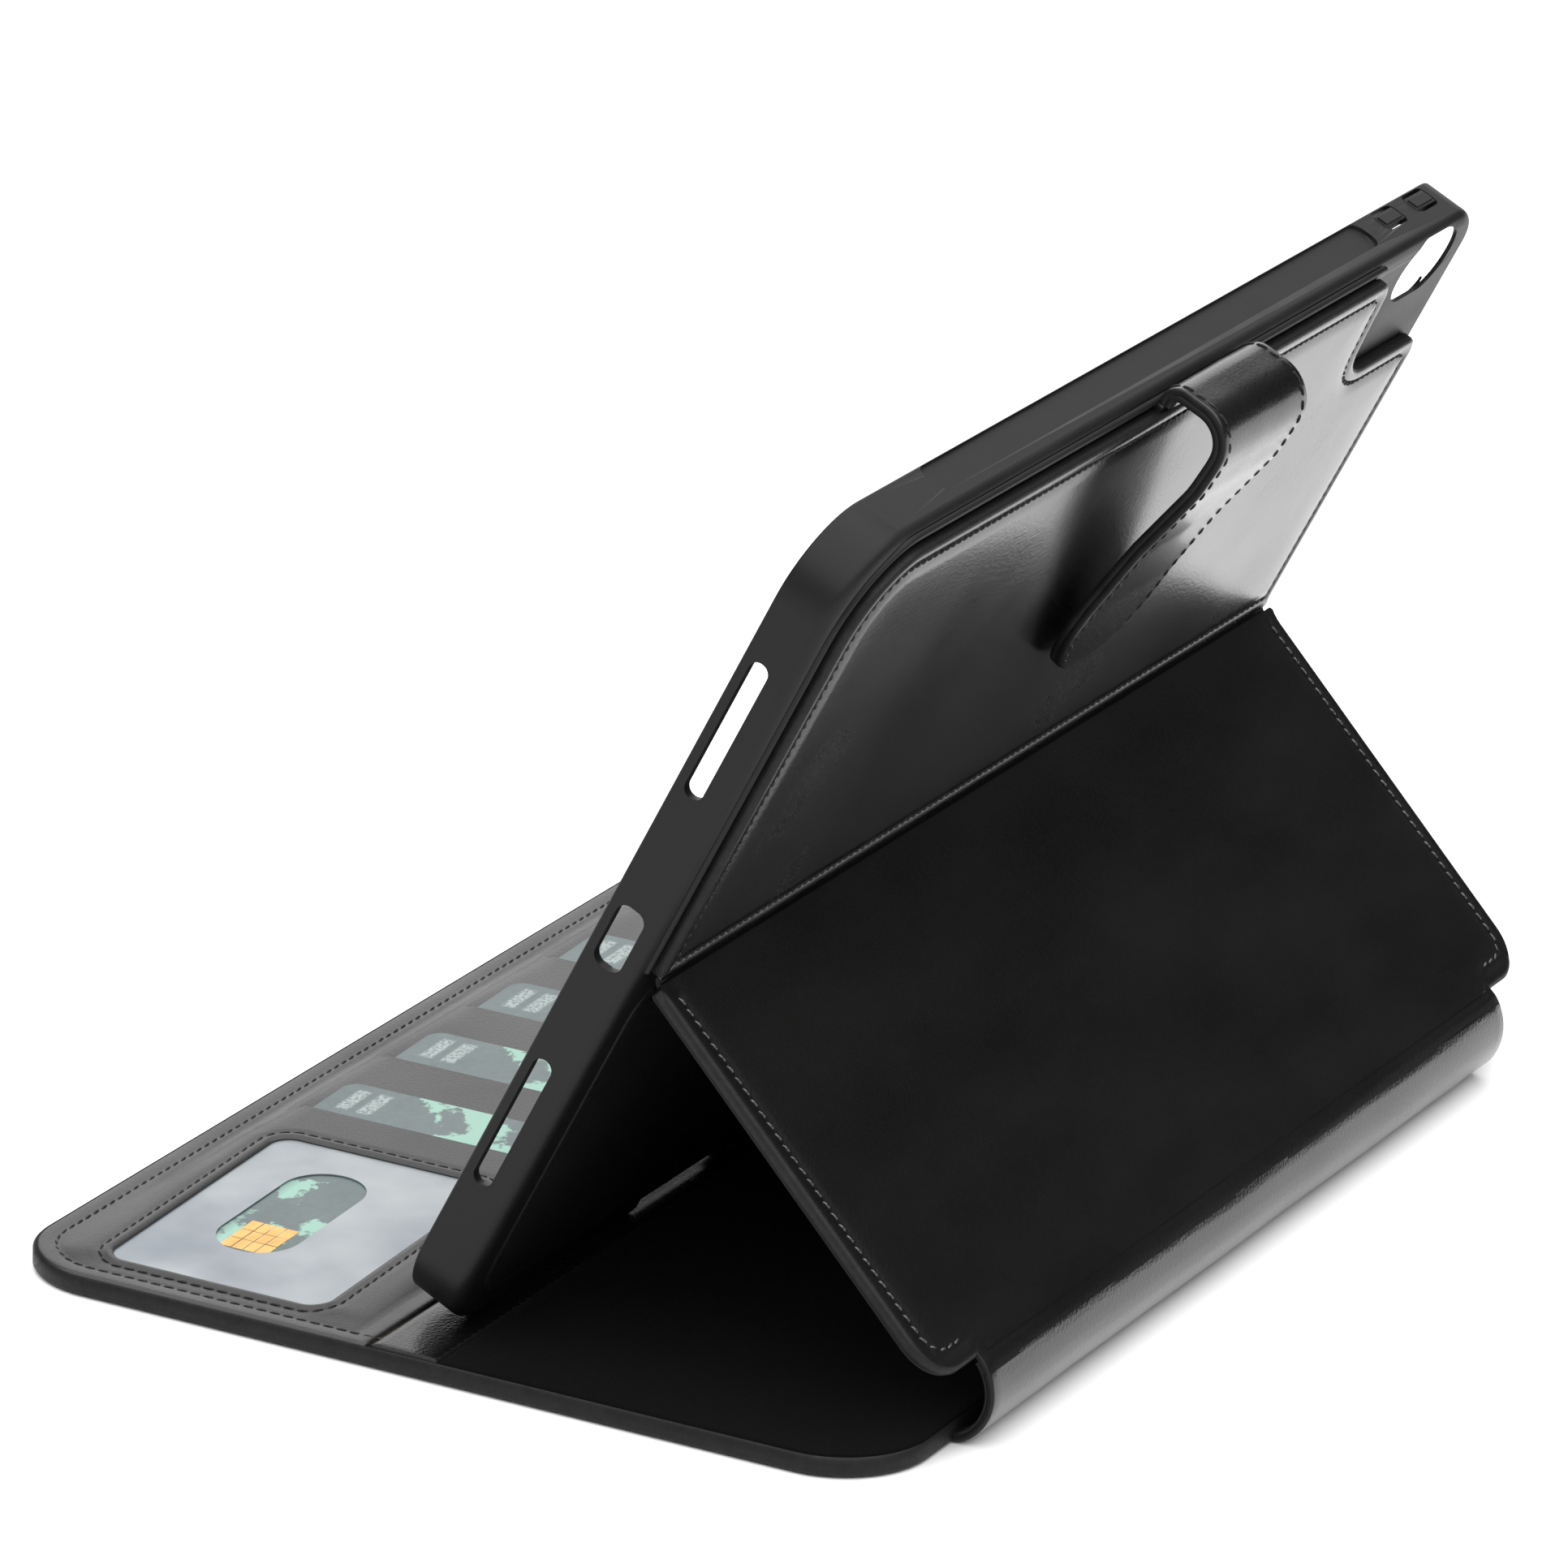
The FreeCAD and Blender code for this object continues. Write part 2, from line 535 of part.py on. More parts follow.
# ---- spine --------------------------------------------------------------
def spine_ply(outer, inner):
    """Curved sheet between two radii of the spine's arc, along X."""
    centre = Vector(0, CASE_DEPTH / 2 - SPINE_R, SPINE_MID)

    def at(radius, degrees):
        angle = math.radians(degrees)
        return centre + Vector(0, radius * math.cos(angle), radius * math.sin(angle))

    first, last = SPINE_ARC
    middle = (first + last) / 2
    edges = [Part.Arc(at(outer, first), at(outer, middle), at(outer, last)).toShape(),
             Part.makeLine(at(outer, last), at(inner, last)),
             Part.Arc(at(inner, last), at(inner, middle), at(inner, first)).toShape(),
             Part.makeLine(at(inner, first), at(outer, first))]
    face = Part.Face(Part.Wire(edges))
    face.translate(Vector(-SPINE_X / 2, 0, 0))
    return face.extrude(Vector(SPINE_X, 0, 0))


def make_spine():
    middle = SPINE_R - SPINE_LEATHER
    keep("spine_leather", spine_ply(SPINE_R, middle))
    keep("spine_lining", spine_ply(middle, middle - SPINE_LINING))


# ---- write --------------------------------------------------------------
def main():
    make_cover()
    make_pockets()
    make_tray()
    make_panel()
    make_strap()
    make_kick()
    make_spine()
    os.makedirs("parts", exist_ok=True)
    whole = FreeCAD.BoundBox()
    for name, shape in PIECES.items():
        shape.exportStep("parts/%s.step" % name)
        whole.add(shape.BoundBox)
        if not shape.isValid() or shape.Volume <= 0:
            print("not valid:", name)
    print("pieces", len(PIECES))
    print("box x %.2f %.2f  y %.2f %.2f  z %.2f %.2f"
          % (whole.XMin, whole.XMax, whole.YMin, whole.YMax, whole.ZMin, whole.ZMax))


main()
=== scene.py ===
import json
import math

import bmesh
import bpy
import numpy as np
from mathutils import Euler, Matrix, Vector, noise
from mathutils.geometry import delaunay_2d_cdt


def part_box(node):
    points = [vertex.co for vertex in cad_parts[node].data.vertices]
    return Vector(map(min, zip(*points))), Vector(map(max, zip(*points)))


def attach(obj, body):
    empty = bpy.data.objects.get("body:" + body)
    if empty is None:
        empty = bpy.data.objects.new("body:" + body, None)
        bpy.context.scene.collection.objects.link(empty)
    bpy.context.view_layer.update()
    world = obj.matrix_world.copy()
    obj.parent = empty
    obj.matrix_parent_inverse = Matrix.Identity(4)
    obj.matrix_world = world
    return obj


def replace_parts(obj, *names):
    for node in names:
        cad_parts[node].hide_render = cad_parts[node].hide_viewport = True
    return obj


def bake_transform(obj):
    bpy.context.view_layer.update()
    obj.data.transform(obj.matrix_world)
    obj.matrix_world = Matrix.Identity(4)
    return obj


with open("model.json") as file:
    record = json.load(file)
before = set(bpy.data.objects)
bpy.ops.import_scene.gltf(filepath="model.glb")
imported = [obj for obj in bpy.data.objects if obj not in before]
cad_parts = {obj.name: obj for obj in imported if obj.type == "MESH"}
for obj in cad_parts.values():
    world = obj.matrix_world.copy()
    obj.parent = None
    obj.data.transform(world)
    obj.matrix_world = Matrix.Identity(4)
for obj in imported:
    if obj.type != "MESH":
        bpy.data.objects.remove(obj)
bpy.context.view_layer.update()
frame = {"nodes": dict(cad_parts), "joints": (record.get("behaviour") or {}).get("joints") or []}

# A leather tablet case standing open. Lengths are millimetres, and become metres as meshes are made.
# (u, v, w) are a leaf's own axes: across it along X, up it, and out of its face.
MM = 0.001
X_AXIS, Y_AXIS, Z_AXIS = Vector((1, 0, 0)), Vector((0, 1, 0)), Vector((0, 0, 1))

COVER_R, PANEL_R, KICK_R, INLAY_R = 18.0, 16.0, 9.0, 10.0
NOTCH_X, NOTCH_V, NOTCH_INNER_R = -84.0, 155.0, 10.0    # camera corner left out of the panel
CARD_SHOWS, CARD_HALF = 16.0, 27.0
PITCH, THREAD = 2.8, 0.27                                # stitch spacing and thread radius
SEAM, PANEL_SEAM, KICK_SEAM = 4.4, 3.0, 3.6              # stitches in from an edge
INLAY_SEAM, STRAP_SEAM = 2.4, 1.9
LEVEL_INSET, PAINTED_INSET = 1.2, 0.55                   # rounded edge, and its painted part


# ---- places taken from the frame ---------------------------------------
class Leaf:
    """Axes of a flat CAD piece, with out its outer face's normal."""

    def __init__(self, node, outward, upward):
        face = max(frame["nodes"][node].data.polygons, key=lambda p: p.area)
        self.out = face.normal.copy() if face.normal.dot(outward) > 0 else -face.normal
        self.up = X_AXIS.cross(self.out)
        if self.up.dot(upward) < 0:
            self.up = -self.up
        self.axes = np.array([X_AXIS, self.up, self.out], float)

    def span(self, node):
        """Lowest and highest (u, v, w) of a CAD node."""
        flat = np.array([v.co for v in frame["nodes"][node].data.vertices]) / MM @ self.axes.T
        return flat.min(0), flat.max(0)

    def world(self, points):
        """Points (u, v, w) in the row frame, in metres."""
        return np.asarray(points, float) @ self.axes * MM


def joint(name):
    """The record's joint of that name."""
    return next(j for j in frame["joints"] if j["name"] == name)


COVER = Leaf("cover_board", Z_AXIS, Y_AXIS)
UNDER = Leaf("cover_board", -Z_AXIS, Y_AXIS)
TRAY = Leaf("back_inlay", Y_AXIS, Z_AXIS)
KICK = Leaf("kick_board", Y_AXIS, Z_AXIS)


# ---- outlines and flat meshes ------------------------------------------
def unit(v):
    return v / np.linalg.norm(v)


def outline(corners, step=2.5, closed=True):
    """Points along the corners (a, b, radius), each one rounded, with straight runs divided."""
    points = np.array([c[:2] for c in corners], float)
    path = []
    for i, (_, _, radius) in enumerate(corners):
        here, before, after = points[i], points[i - 1], points[(i + 1) % len(points)]
        at_end = not closed and i in (0, len(corners) - 1)
        if radius < 0.05 or at_end:
            path.append(here)
            continue
        back, ahead = unit(before - here), unit(after - here)
        half = math.acos(np.clip(back @ ahead, -1, 1)) / 2
        centre = here + unit(back + ahead) * radius / math.sin(half)
        start = here + back * radius / math.tan(half) - centre
        end = here + ahead * radius / math.tan(half) - centre
        first = math.atan2(start[1], start[0])
        turn = (math.atan2(end[1], end[0]) - first + math.pi) % (2 * math.pi) - math.pi
        count = max(3, math.ceil(abs(turn) / math.radians(6)))
        for angle in first + np.linspace(0, turn, count + 1):
            path.append(centre + radius * np.array([math.cos(angle), math.sin(angle)]))
    divided = []
    following = path[1:] + (path[:1] if closed else [])
    for a, b in zip(path, following):
        count = max(1, round(np.linalg.norm(b - a) / step))
        divided += [a + (b - a) * k / count for k in range(count)]
    if not closed:
        divided.append(path[-1])
    return np.array(divided)


def lengths(path):
    """How far along a path each of its points is."""
    return np.concatenate([[0], np.cumsum(np.linalg.norm(np.diff(path, axis=0), axis=1))])


def right_of(path):
    """Unit vectors to the right of a flat path, at each of its points."""
    run = np.gradient(path, axis=0)
    run /= np.linalg.norm(run, axis=1)[:, None]
    return np.column_stack([run[:, 1], -run[:, 0]])


def rectangle(low, high, inset, radius):
    """Corners of a rounded rectangle drawn in by inset."""
    r = max(radius - inset, 0.3)
    (u0, v0), (u1, v1) = np.array(low[:2]) + inset, np.array(high[:2]) - inset
    return [(u0, v0, r), (u1, v0, r), (u1, v1, r), (u0, v1, r)]


def distance(points, ring):
    """How far each point is from a closed ring."""
    run = np.roll(ring, -1, 0) - ring
    found = []
    for chunk in np.array_split(points, max(1, len(points) // 2000)):
        reach = chunk[:, None] - ring
        t = np.clip((reach * run).sum(2) / (run * run).sum(1), 0, 1)
        found.append(np.linalg.norm(reach - t[..., None] * run, axis=2).min(1))
    return np.concatenate(found)


def inside(points, ring):
    """Which points lie inside a closed ring."""
    (ax, ay), (bx, by) = ring.T, np.roll(ring, -1, 0).T
    x, y = points[:, :1], points[:, 1:]
    crosses = (ay > y) != (by > y)
    rise = np.where(by == ay, 1.0, by - ay)
    return ((x < (bx - ax) * (y - ay) / rise + ax) & crosses).sum(1) % 2 == 1


def flat_mesh(rings, holes=(), lines=(), step=3.0):
    """Triangles inside the first ring and outside the holes. Points follow every ring and line."""
    points, edges = [], []
    for closed, group in ((True, list(rings) + [r for h in holes for r in h]), (False, lines)):
        for ring in group:
            first, count = len(points), len(ring)
            points += list(ring)
            edges += [(first + k, first + k + 1) for k in range(count - 1)]
            if closed:
                edges.append((first + count - 1, first))
    low, high = rings[0].min(0), rings[0].max(0)
    us, vs = (np.arange(a + step / 2, b, step) for a, b in zip(low, high))
    grid = np.array([(u + (step / 2 if k % 2 else 0), v) for k, v in enumerate(vs) for u in us])
    grid = grid[inside(grid, rings[-1])]
    near = np.min([distance(grid, r) for r in list(rings) + [r for h in holes for r in h]], axis=0)
    grid = grid[near > 0.6 * step]
    for line in lines:
        (u0, v0), (u1, v1) = line.min(0), line.max(0)
        close = (grid[:, 0] > u0 - step / 2) & (grid[:, 0] < u1 + step / 2)
        close &= (grid[:, 1] > v0 - step / 2) & (grid[:, 1] < v1 + step / 2)
        grid = grid[~close]
    points += list(grid)
    found = delaunay_2d_cdt([Vector(p) for p in points], edges, [], 0, 1e-5)
    verts, faces = np.array([tuple(v) for v in found[0]]), np.array(found[2])
    middle = verts[faces].mean(1)
    keep = inside(middle, rings[0])
    for hole in holes:
        keep &= ~inside(middle, hole[0])
    return verts, faces[keep]


def ripple(points, size, seed):
    """Slow random rise and fall, about -0.5 to 0.5, with bumps of that size."""
    return np.array([noise.noise(Vector((p[0] / size, p[1] / size, seed))) for p in points])


# ---- meshes -------------------------------------------------------------
def make_object(name, bm, materials, smooth_angle=35.0):
    """Finished object from a bmesh, with its faces turned outwards and its edges smoothed by angle."""
    loose = [v for v in bm.verts if not v.link_faces]
    bmesh.ops.delete(bm, geom=loose, context="VERTS")
    bmesh.ops.recalc_face_normals(bm, faces=bm.faces)
    limit = math.radians(smooth_angle)
    for edge in bm.edges:
        edge.smooth = len(edge.link_faces) == 2 and edge.calc_face_angle(0) < limit
    for face in bm.faces:
        face.smooth = True
    mesh = bpy.data.meshes.new(name)
    bm.to_mesh(mesh)
    bm.free()
    for material in materials:
        mesh.materials.append(material)
    obj = bpy.data.objects.new(name, mesh)
    bpy.context.scene.collection.objects.link(obj)
    return obj


def thicken(obj, thickness):
    """Give an open sheet its thickness, inwards, and apply it."""
    solid = obj.modifiers.new("thickness", "SOLIDIFY")
    solid.thickness, solid.offset = thickness * MM, -1
    bpy.context.view_layer.update()
    evaluated = obj.evaluated_get(bpy.context.evaluated_depsgraph_get())
    obj.data = bpy.data.meshes.new_from_object(evaluated)
    obj.modifiers.clear()
    return obj


def skin(name, leaf, corners, profile, base, materials, rise=None, step=3.0, thickness=0.5, runs_on=None):
    """Leather over a board: its height follows the profile (inset, height) in from the outline.

    corners(inset) gives the outline, the sides go down to base, and rise(points, inset) is added.
    Where runs_on(points) is 1 the leather goes on past the edge, so it stays level and unpainted.
    """
    insets = [inset for inset, _ in profile]
    rings = [outline(corners(inset)) for inset in insets]
    verts, faces = flat_mesh(rings, step=step)
    depth = distance(verts, rings[0])
    heights = [h for _, h in profile]
    height = np.interp(depth, insets, heights)
    if runs_on is not None:
        level = np.interp(np.maximum(depth, LEVEL_INSET), insets, heights)
        height = height + (level - height) * runs_on(verts)
    if rise is not None:
        height = height + rise(verts, depth)
    bm = bmesh.new()
    made = [bm.verts.new(p) for p in np.column_stack([verts, height])]
    for face in faces:
        bm.faces.new([made[i] for i in face])
    rim = [e for e in bm.edges if len(e.link_faces) == 1]
    for drop, tuck in ((0.4, 0.0), (0.0, 0.4)):
        extruded = bmesh.ops.extrude_edge_only(bm, edges=rim)["geom"]
        rim = [g for g in extruded if isinstance(g, bmesh.types.BMEdge)]
        lower = [g for g in extruded if isinstance(g, bmesh.types.BMVert)]
        flat = np.array([v.co[:2] for v in lower])
        inner = outline(corners(tuck), step=0.5) if tuck else flat
        for v, p in zip(lower, flat):
            nearest = inner[np.argmin(((inner - p) ** 2).sum(1))] if tuck else p
            v.co = (nearest[0], nearest[1], base + drop)
    middles = np.array([face.calc_center_median()[:2] for face in bm.faces])
    painted = distance(middles, rings[0]) < PAINTED_INSET
    if runs_on is not None:
        painted &= runs_on(middles) < 0.5
    for face, paint in zip(bm.faces, painted):
        face.material_index = int(paint and len(materials) > 1)
    for v in bm.verts:
        v.co = leaf.world([v.co])[0]
    obj = make_object(name, bm, materials, 60.0)
    turn_out(obj, leaf.out)
    return thicken(obj, thickness)


def turn_out(obj, out):
    """Flip an open sheet if its faces look inwards."""
    total = sum((p.normal * p.area for p in obj.data.polygons), Vector())
    if total.dot(out) < 0:
        obj.data.flip_normals()


def spindle(length, radius, sides=6):
    """One stitch along the first axis: it dives into the leather at both ends."""
    rings = []
    for t, size, sink in ((-1, 0.45, 0.9), (-0.7, 0.9, 0.25), (0, 1, 0), (0.7, 0.9, 0.25), (1, 0.45, 0.9)):
        for k in range(sides):
            a = 2 * math.pi * k / sides
            rings.append((t * length / 2, radius * size * math.cos(a),
                          radius * (size * math.sin(a) - sink)))
    faces = [(r * sides + k, r * sides + (k + 1) % sides, (r + 1) * sides + (k + 1) % sides,
              (r + 1) * sides + k) for r in range(4) for k in range(sides)]
    faces += [tuple(range(sides))[::-1], tuple(range(4 * sides, 5 * sides))]
    return np.array(rings), faces


def stitches(name, path, normals, material, closed=True, slant=10.0, lift=0.06, thick=THREAD, pitch=PITCH):
    """A row of stitches along row-frame points in millimetres, one every pitch."""
    path, normals = np.asarray(path, float), np.asarray(normals, float)
    if closed:
        path, normals = np.vstack([path, path[:1]]), np.vstack([normals, normals[:1]])
    along = lengths(path)
    count = int(along[-1] / pitch)
    places = (np.arange(count) + 0.5) * along[-1] / count
    shape, faces = spindle(pitch * 0.8, thick)

    def at(distances, rows):
        return np.column_stack([np.interp(distances, along, rows[:, k]) for k in range(3)])

    centres, outs = at(places, path), at(places, normals)
    ahead = at(np.clip(places + 0.8, 0, along[-1]), path) - at(np.clip(places - 0.8, 0, None), path)
    lean = math.tan(math.radians(slant))
    verts, polygons = [], []
    for centre, out, run in zip(centres, outs, ahead):
        out, run = unit(out), unit(run)
        side = np.cross(out, run)
        run = unit(run + side * lean)
        side = np.cross(out, run)
        first = len(verts)
        verts += list((centre + out * lift + shape @ np.array([run, side, out])) * MM)
        polygons += [tuple(first + i for i in face) for face in faces]
    mesh = bpy.data.meshes.new(name)
    mesh.from_pydata(verts, [], polygons)
    mesh.polygons.foreach_set("use_smooth", [True] * len(polygons))
    mesh.materials.append(material)
    obj = bpy.data.objects.new(name, mesh)
    bpy.context.scene.collection.objects.link(obj)
    return obj


def leaf_stitches(name, leaf, points, height, material, **options):
    """Stitches on a leaf's face, along points (u, v) at a height."""
    heights = np.broadcast_to(height, len(points))
    path = leaf.world(np.column_stack([points, heights])) / MM
    return stitches(name, path, np.tile(leaf.axes[2], (len(points), 1)), material, **options)


# ---- materials ----------------------------------------------------------
class Finish:
    """A Principled material, and the nodes that feed it from the object's own coordinates."""

    def __init__(self, name, **sockets):
        self.material = bpy.data.materials.new(name)
        self.material.use_nodes = True
        self.nodes = self.material.node_tree.nodes
        self.links = self.material.node_tree.links
        self.shader = self.nodes["Principled BSDF"]
        for socket, value in sockets.items():
            self.shader.inputs[socket.replace("_", " ")].default_value = value
        self.place = self.nodes.new("ShaderNodeTexCoord").outputs["Object"]

    def add(self, kind, **inputs):
        """A node with its inputs set to a value or linked from another node's output."""
        node = self.nodes.new("ShaderNode" + kind)
        for key, value in inputs.items():
            socket = node.inputs[int(key[1:])] if key[0] == "i" and key[1:].isdigit() \
                else node.inputs[key]
            if isinstance(value, bpy.types.NodeSocket):
                self.links.new(value, socket)
            else:
                socket.default_value = value
        return node

    def stretched(self, scale):
        """The place with each axis scaled."""
        return self.add("Mapping", Vector=self.place, Scale=scale).outputs[0]

    def cloud(self, scale, detail=3.0, place=None, rough=0.5):
        """Soft noise, 0 to 1, with that many features to a metre."""
        return self.add("TexNoise", Vector=place or self.place, Scale=scale, Detail=detail,
                        Roughness=rough).outputs[0]

    def cells(self, scale):
        """Distance to the nearest cell's middle, with that many cells to a metre."""
        return self.add("TexVoronoi", Vector=self.place, Scale=scale).outputs[0]

    def spread(self, value, low, high, new_low=0.0, new_high=1.0):
        """A value moved from one range to another and held there."""
        names = {"Value": value, "From Min": low, "From Max": high, "To Min": new_low,
                 "To Max": new_high}
        return self.add("MapRange", **names).outputs[0]

    def blend(self, factor, first, second):
        """Mix of two colours or colour outputs."""
        node = self.nodes.new("ShaderNodeMix")
        node.data_type = "RGBA"
        for index, value in ((0, factor), (6, first), (7, second)):
            if isinstance(value, bpy.types.NodeSocket):
                self.links.new(value, node.inputs[index])
            else:
                node.inputs[index].default_value = value if index == 0 else (*value, 1.0)
        return node.outputs[2]

    def math(self, operation, a, b):
        node = self.add("Math", i0=a, i1=b)
        node.operation = operation
        return node.outputs[0]

    def feed(self, socket, output):
        self.links.new(output, self.shader.inputs[socket])

    def paint(self, value, low, high, first, second):
        """Base colour from the first to the second as a value goes from low to high."""
        self.feed("Base Color", self.blend(self.spread(value, low, high), first, second))

    def polish(self, value, smoothest, roughest):
        """Roughness between two limits, following a value's middle range."""
        self.feed("Roughness", self.spread(value, 0.3, 0.7, smoothest, roughest))

    def bumps(self, *layers):
        """Bump from (height, distance in millimetres, strength) layers."""
        normal = None
        for height, reach, strength in layers:
            node = self.add("Bump", Height=height, Distance=reach * MM, Strength=strength)
            if normal is not None:
                self.links.new(normal, node.inputs["Normal"])
            normal = node.outputs[0]
        self.feed("Normal", normal)


def times(colour, factor):
    """A lighter or darker colour."""
    return tuple(c * factor for c in colour)


def leather(name, dark, light, rough, grain, coat=0.12, shine=0.5, crease=(1.0, 1.0, 1.0)):
    """Polished leather: fine pores, soft creases and a slightly uneven polish."""
    f = Finish(name, IOR=1.5, Specular_IOR_Level=shine, Coat_Weight=coat, Coat_Roughness=0.14)
    patches = f.cloud(22.0, 4.0, f.stretched(crease))
    pores = f.cells(1500.0)
    fine = f.cloud(3200.0, 2.0)
    folds = f.cloud(110.0, 4.0, f.stretched(crease), 0.55)
    f.paint(patches, 0.3, 0.75, dark, light)
    f.feed("Roughness", f.math("ADD", f.spread(patches, 0.3, 0.7, rough - 0.05, rough + 0.06),
                               f.spread(pores, 0.0, 0.5, 0.0, 0.05)))
    f.bumps((folds, 0.08, 0.12 * grain), (pores, 0.07, 0.35 * grain), (fine, 0.03, 0.3 * grain))
    return f.material


def plastic(name, colour, rough, shine, speckle=0.3):
    """Moulded plastic or rubber with a fine satin texture."""
    f = Finish(name, IOR=1.5, Specular_IOR_Level=shine)
    cloud = f.cloud(60.0, 3.0)
    fine = f.cloud(4200.0, 2.0)
    f.paint(cloud, 0.3, 0.7, colour, times(colour, 1.35))
    f.polish(cloud, rough - 0.04, rough + 0.05)
    f.bumps((fine, 0.02, speckle))
    return f.material


def cloth(name, dark, light, nap, sheen):
    """Suede or microfibre: a short fibrous nap brushed in patches."""
    f = Finish(name, Roughness=0.92, Specular_IOR_Level=0.08, Sheen_Weight=sheen, Sheen_Roughness=0.45)
    brushed = f.cloud(45.0, 4.0)
    fibres = f.cloud(nap, 4.0, f.stretched((1.0, 2.4, 1.0)), 0.7)
    tone = f.math("MULTIPLY", f.spread(brushed, 0.3, 0.7, 0.45, 1.0), f.spread(fibres, 0.35, 0.75))
    f.feed("Base Color", f.blend(tone, dark, light))
    f.bumps((brushed, 0.2, 0.15), (fibres, 0.16, 0.7))
    return f.material


def painted_edge(name, colour, rough):
    """Edge paint over cut leather: uneven, with small nicks."""
    f = Finish(name, IOR=1.48, Specular_IOR_Level=0.22)
    uneven = f.cloud(420.0, 5.0, rough=0.65)
    nicks = f.cloud(1700.0, 3.0)
    f.paint(uneven, 0.35, 0.75, colour, times(colour, 1.9))
    f.polish(nicks, rough - 0.08, rough + 0.1)
    f.bumps((uneven, 0.18, 0.45), (nicks, 0.06, 0.4))
    return f.material


def thread(name, colour, rough, shine):
    """Twisted sewing thread."""
    f = Finish(name, IOR=1.5, Specular_IOR_Level=shine)
    strands = f.cells(2600.0)
    f.paint(strands, 0.1, 0.6, colour, times(colour, 2.2))
    f.polish(f.cloud(900.0), rough - 0.1, rough + 0.15)
    f.bumps((strands, 0.1, 0.6))
    return f.material


def metal(name, colour, rough):
    """Plated magnet or rolled steel sheet with fine drawn lines."""
    f = Finish(name, Metallic=1.0)
    drawn = f.cloud(900.0, 3.0, f.stretched((1.0, 14.0, 14.0)))
    f.paint(drawn, 0.3, 0.7, times(colour, 0.7), colour)
    f.polish(drawn, rough - 0.08, rough + 0.12)
    f.bumps((drawn, 0.02, 0.3))
    return f.material


def fibre(name, dark, light, scale):
    """Pressed board or open foam inside the covers."""
    f = Finish(name, Roughness=0.85)
    flecks = f.cloud(scale, 5.0, rough=0.7)
    f.paint(flecks, 0.3, 0.7, dark, light)
    f.bumps((flecks, 0.15, 0.5), (f.cells(scale * 0.8), 0.1, 0.3))
    return f.material


def card_print(name):
    """Dark teal card with mint patches and two pale bars at one edge."""
    f = Finish(name, Roughness=0.34, IOR=1.5, Coat_Weight=0.25, Coat_Roughness=0.25)
    generated = next(n for n in f.nodes if n.type == "TEX_COORD").outputs["Generated"]
    parts = f.add("SeparateXYZ", Vector=generated)
    along, across = parts.outputs[0], parts.outputs[1]
    patches = f.add("TexNoise", Vector=generated, Scale=3.1, Detail=7.0, Roughness=0.58).outputs[0]
    base = f.blend(f.spread(f.cloud(600.0), 0.3, 0.7), (0.017, 0.040, 0.041), (0.026, 0.056, 0.057))
    clear = f.spread(across, 0.22, 0.30)
    mask = f.math("MULTIPLY", f.spread(patches, 0.488, 0.508), clear)
    colour = f.blend(mask, base, (0.16, 0.33, 0.26))

    def band(value, low, high):
        edge = 0.006
        return f.math("MULTIPLY", f.spread(value, low - edge, low + edge),
                      f.spread(value, high + edge, high - edge))

    grain = f.spread(f.cloud(1500.0, 4.0), 0.38, 0.56)
    for low, high in ((0.065, 0.115), (0.15, 0.205)):
        bar = f.math("MULTIPLY", band(across, low, high), band(along, 0.03, 0.14))
        bar = f.math("MULTIPLY", bar, f.spread(grain, 0.0, 1.0, 0.15, 1.0))
        colour = f.blend(bar, colour, (0.20, 0.25, 0.24))
    f.feed("Base Color", colour)
    f.polish(f.cloud(80.0), 0.3, 0.4)
    f.bumps((f.cloud(2600.0, 2.0), 0.02, 0.25))
    return f.material


def gold_contact(name):
    """Plated chip contacts."""
    f = Finish(name, Metallic=0.35, Roughness=0.32)
    tint = f.cloud(300.0, 3.0)
    f.paint(tint, 0.3, 0.7, (0.56, 0.27, 0.045), (0.68, 0.36, 0.08))
    f.bumps((f.cloud(3000.0), 0.02, 0.3))
    return f.material


def hazy_film(name):
    """Soft clear film: its colour is lighter in cloud patches, partly haze and partly a painted reflection.
    """
    f = Finish(name, IOR=1.45, Coat_Weight=0.3, Coat_Roughness=0.12)
    haze_and_reflection = f.cloud(38.0, 3.0)
    # lighter cloud patches in the base colour: part haze, part painted reflection
    f.paint(haze_and_reflection, 0.3, 0.7, (0.150, 0.175, 0.205), (0.300, 0.325, 0.335))
    f.feed("Alpha", f.spread(haze_and_reflection, 0.3, 0.72, 0.80, 0.90))
    f.polish(haze_and_reflection, 0.30, 0.42)
    f.bumps((haze_and_reflection, 0.4, 0.25), (f.cloud(2400.0, 2.0), 0.02, 0.2))
    return f.material


def floor_finish(name):
    """Pale seamless studio floor."""
    f = Finish(name, Roughness=0.6)
    cloud = f.cloud(3.0, 3.0)
    f.paint(cloud, 0.3, 0.7, (0.86, 0.86, 0.86), (0.88, 0.88, 0.88))
    f.bumps((f.cloud(700.0), 0.02, 0.1))
    return f.material


BLACK, WORN_BLACK = (0.0035, 0.0035, 0.0035), (0.0055, 0.0053, 0.0050)
PANEL_LEATHER = leather("panel_leather", BLACK, WORN_BLACK, 0.19, 1.2, 0.22, 0.4)
STRAP_LEATHER = leather("strap_leather", BLACK, WORN_BLACK, 0.24, 0.9, 0.3, 0.4)
KICK_LEATHER = leather("kick_leather", (0.0020, 0.0020, 0.0020), (0.0034, 0.0032, 0.0030), 0.40, 1.4, 0.0,
                       0.13, (1.0, 2.4, 2.4))
SPINE_LEATHER = leather("spine_leather", BLACK, (0.0065, 0.0060, 0.0055), 0.17, 1.3, 0.35, 0.5,
                        (1.0, 3.0, 3.0))
INNER_LEATHER = leather("inner_leather", (0.005, 0.0049, 0.0048), (0.008, 0.0077, 0.0074), 0.36, 1.2, 0.1,
                        0.42)
LANDING_LEATHER = leather("landing_leather", BLACK, WORN_BLACK, 0.20, 1.6, 0.1, 0.22)
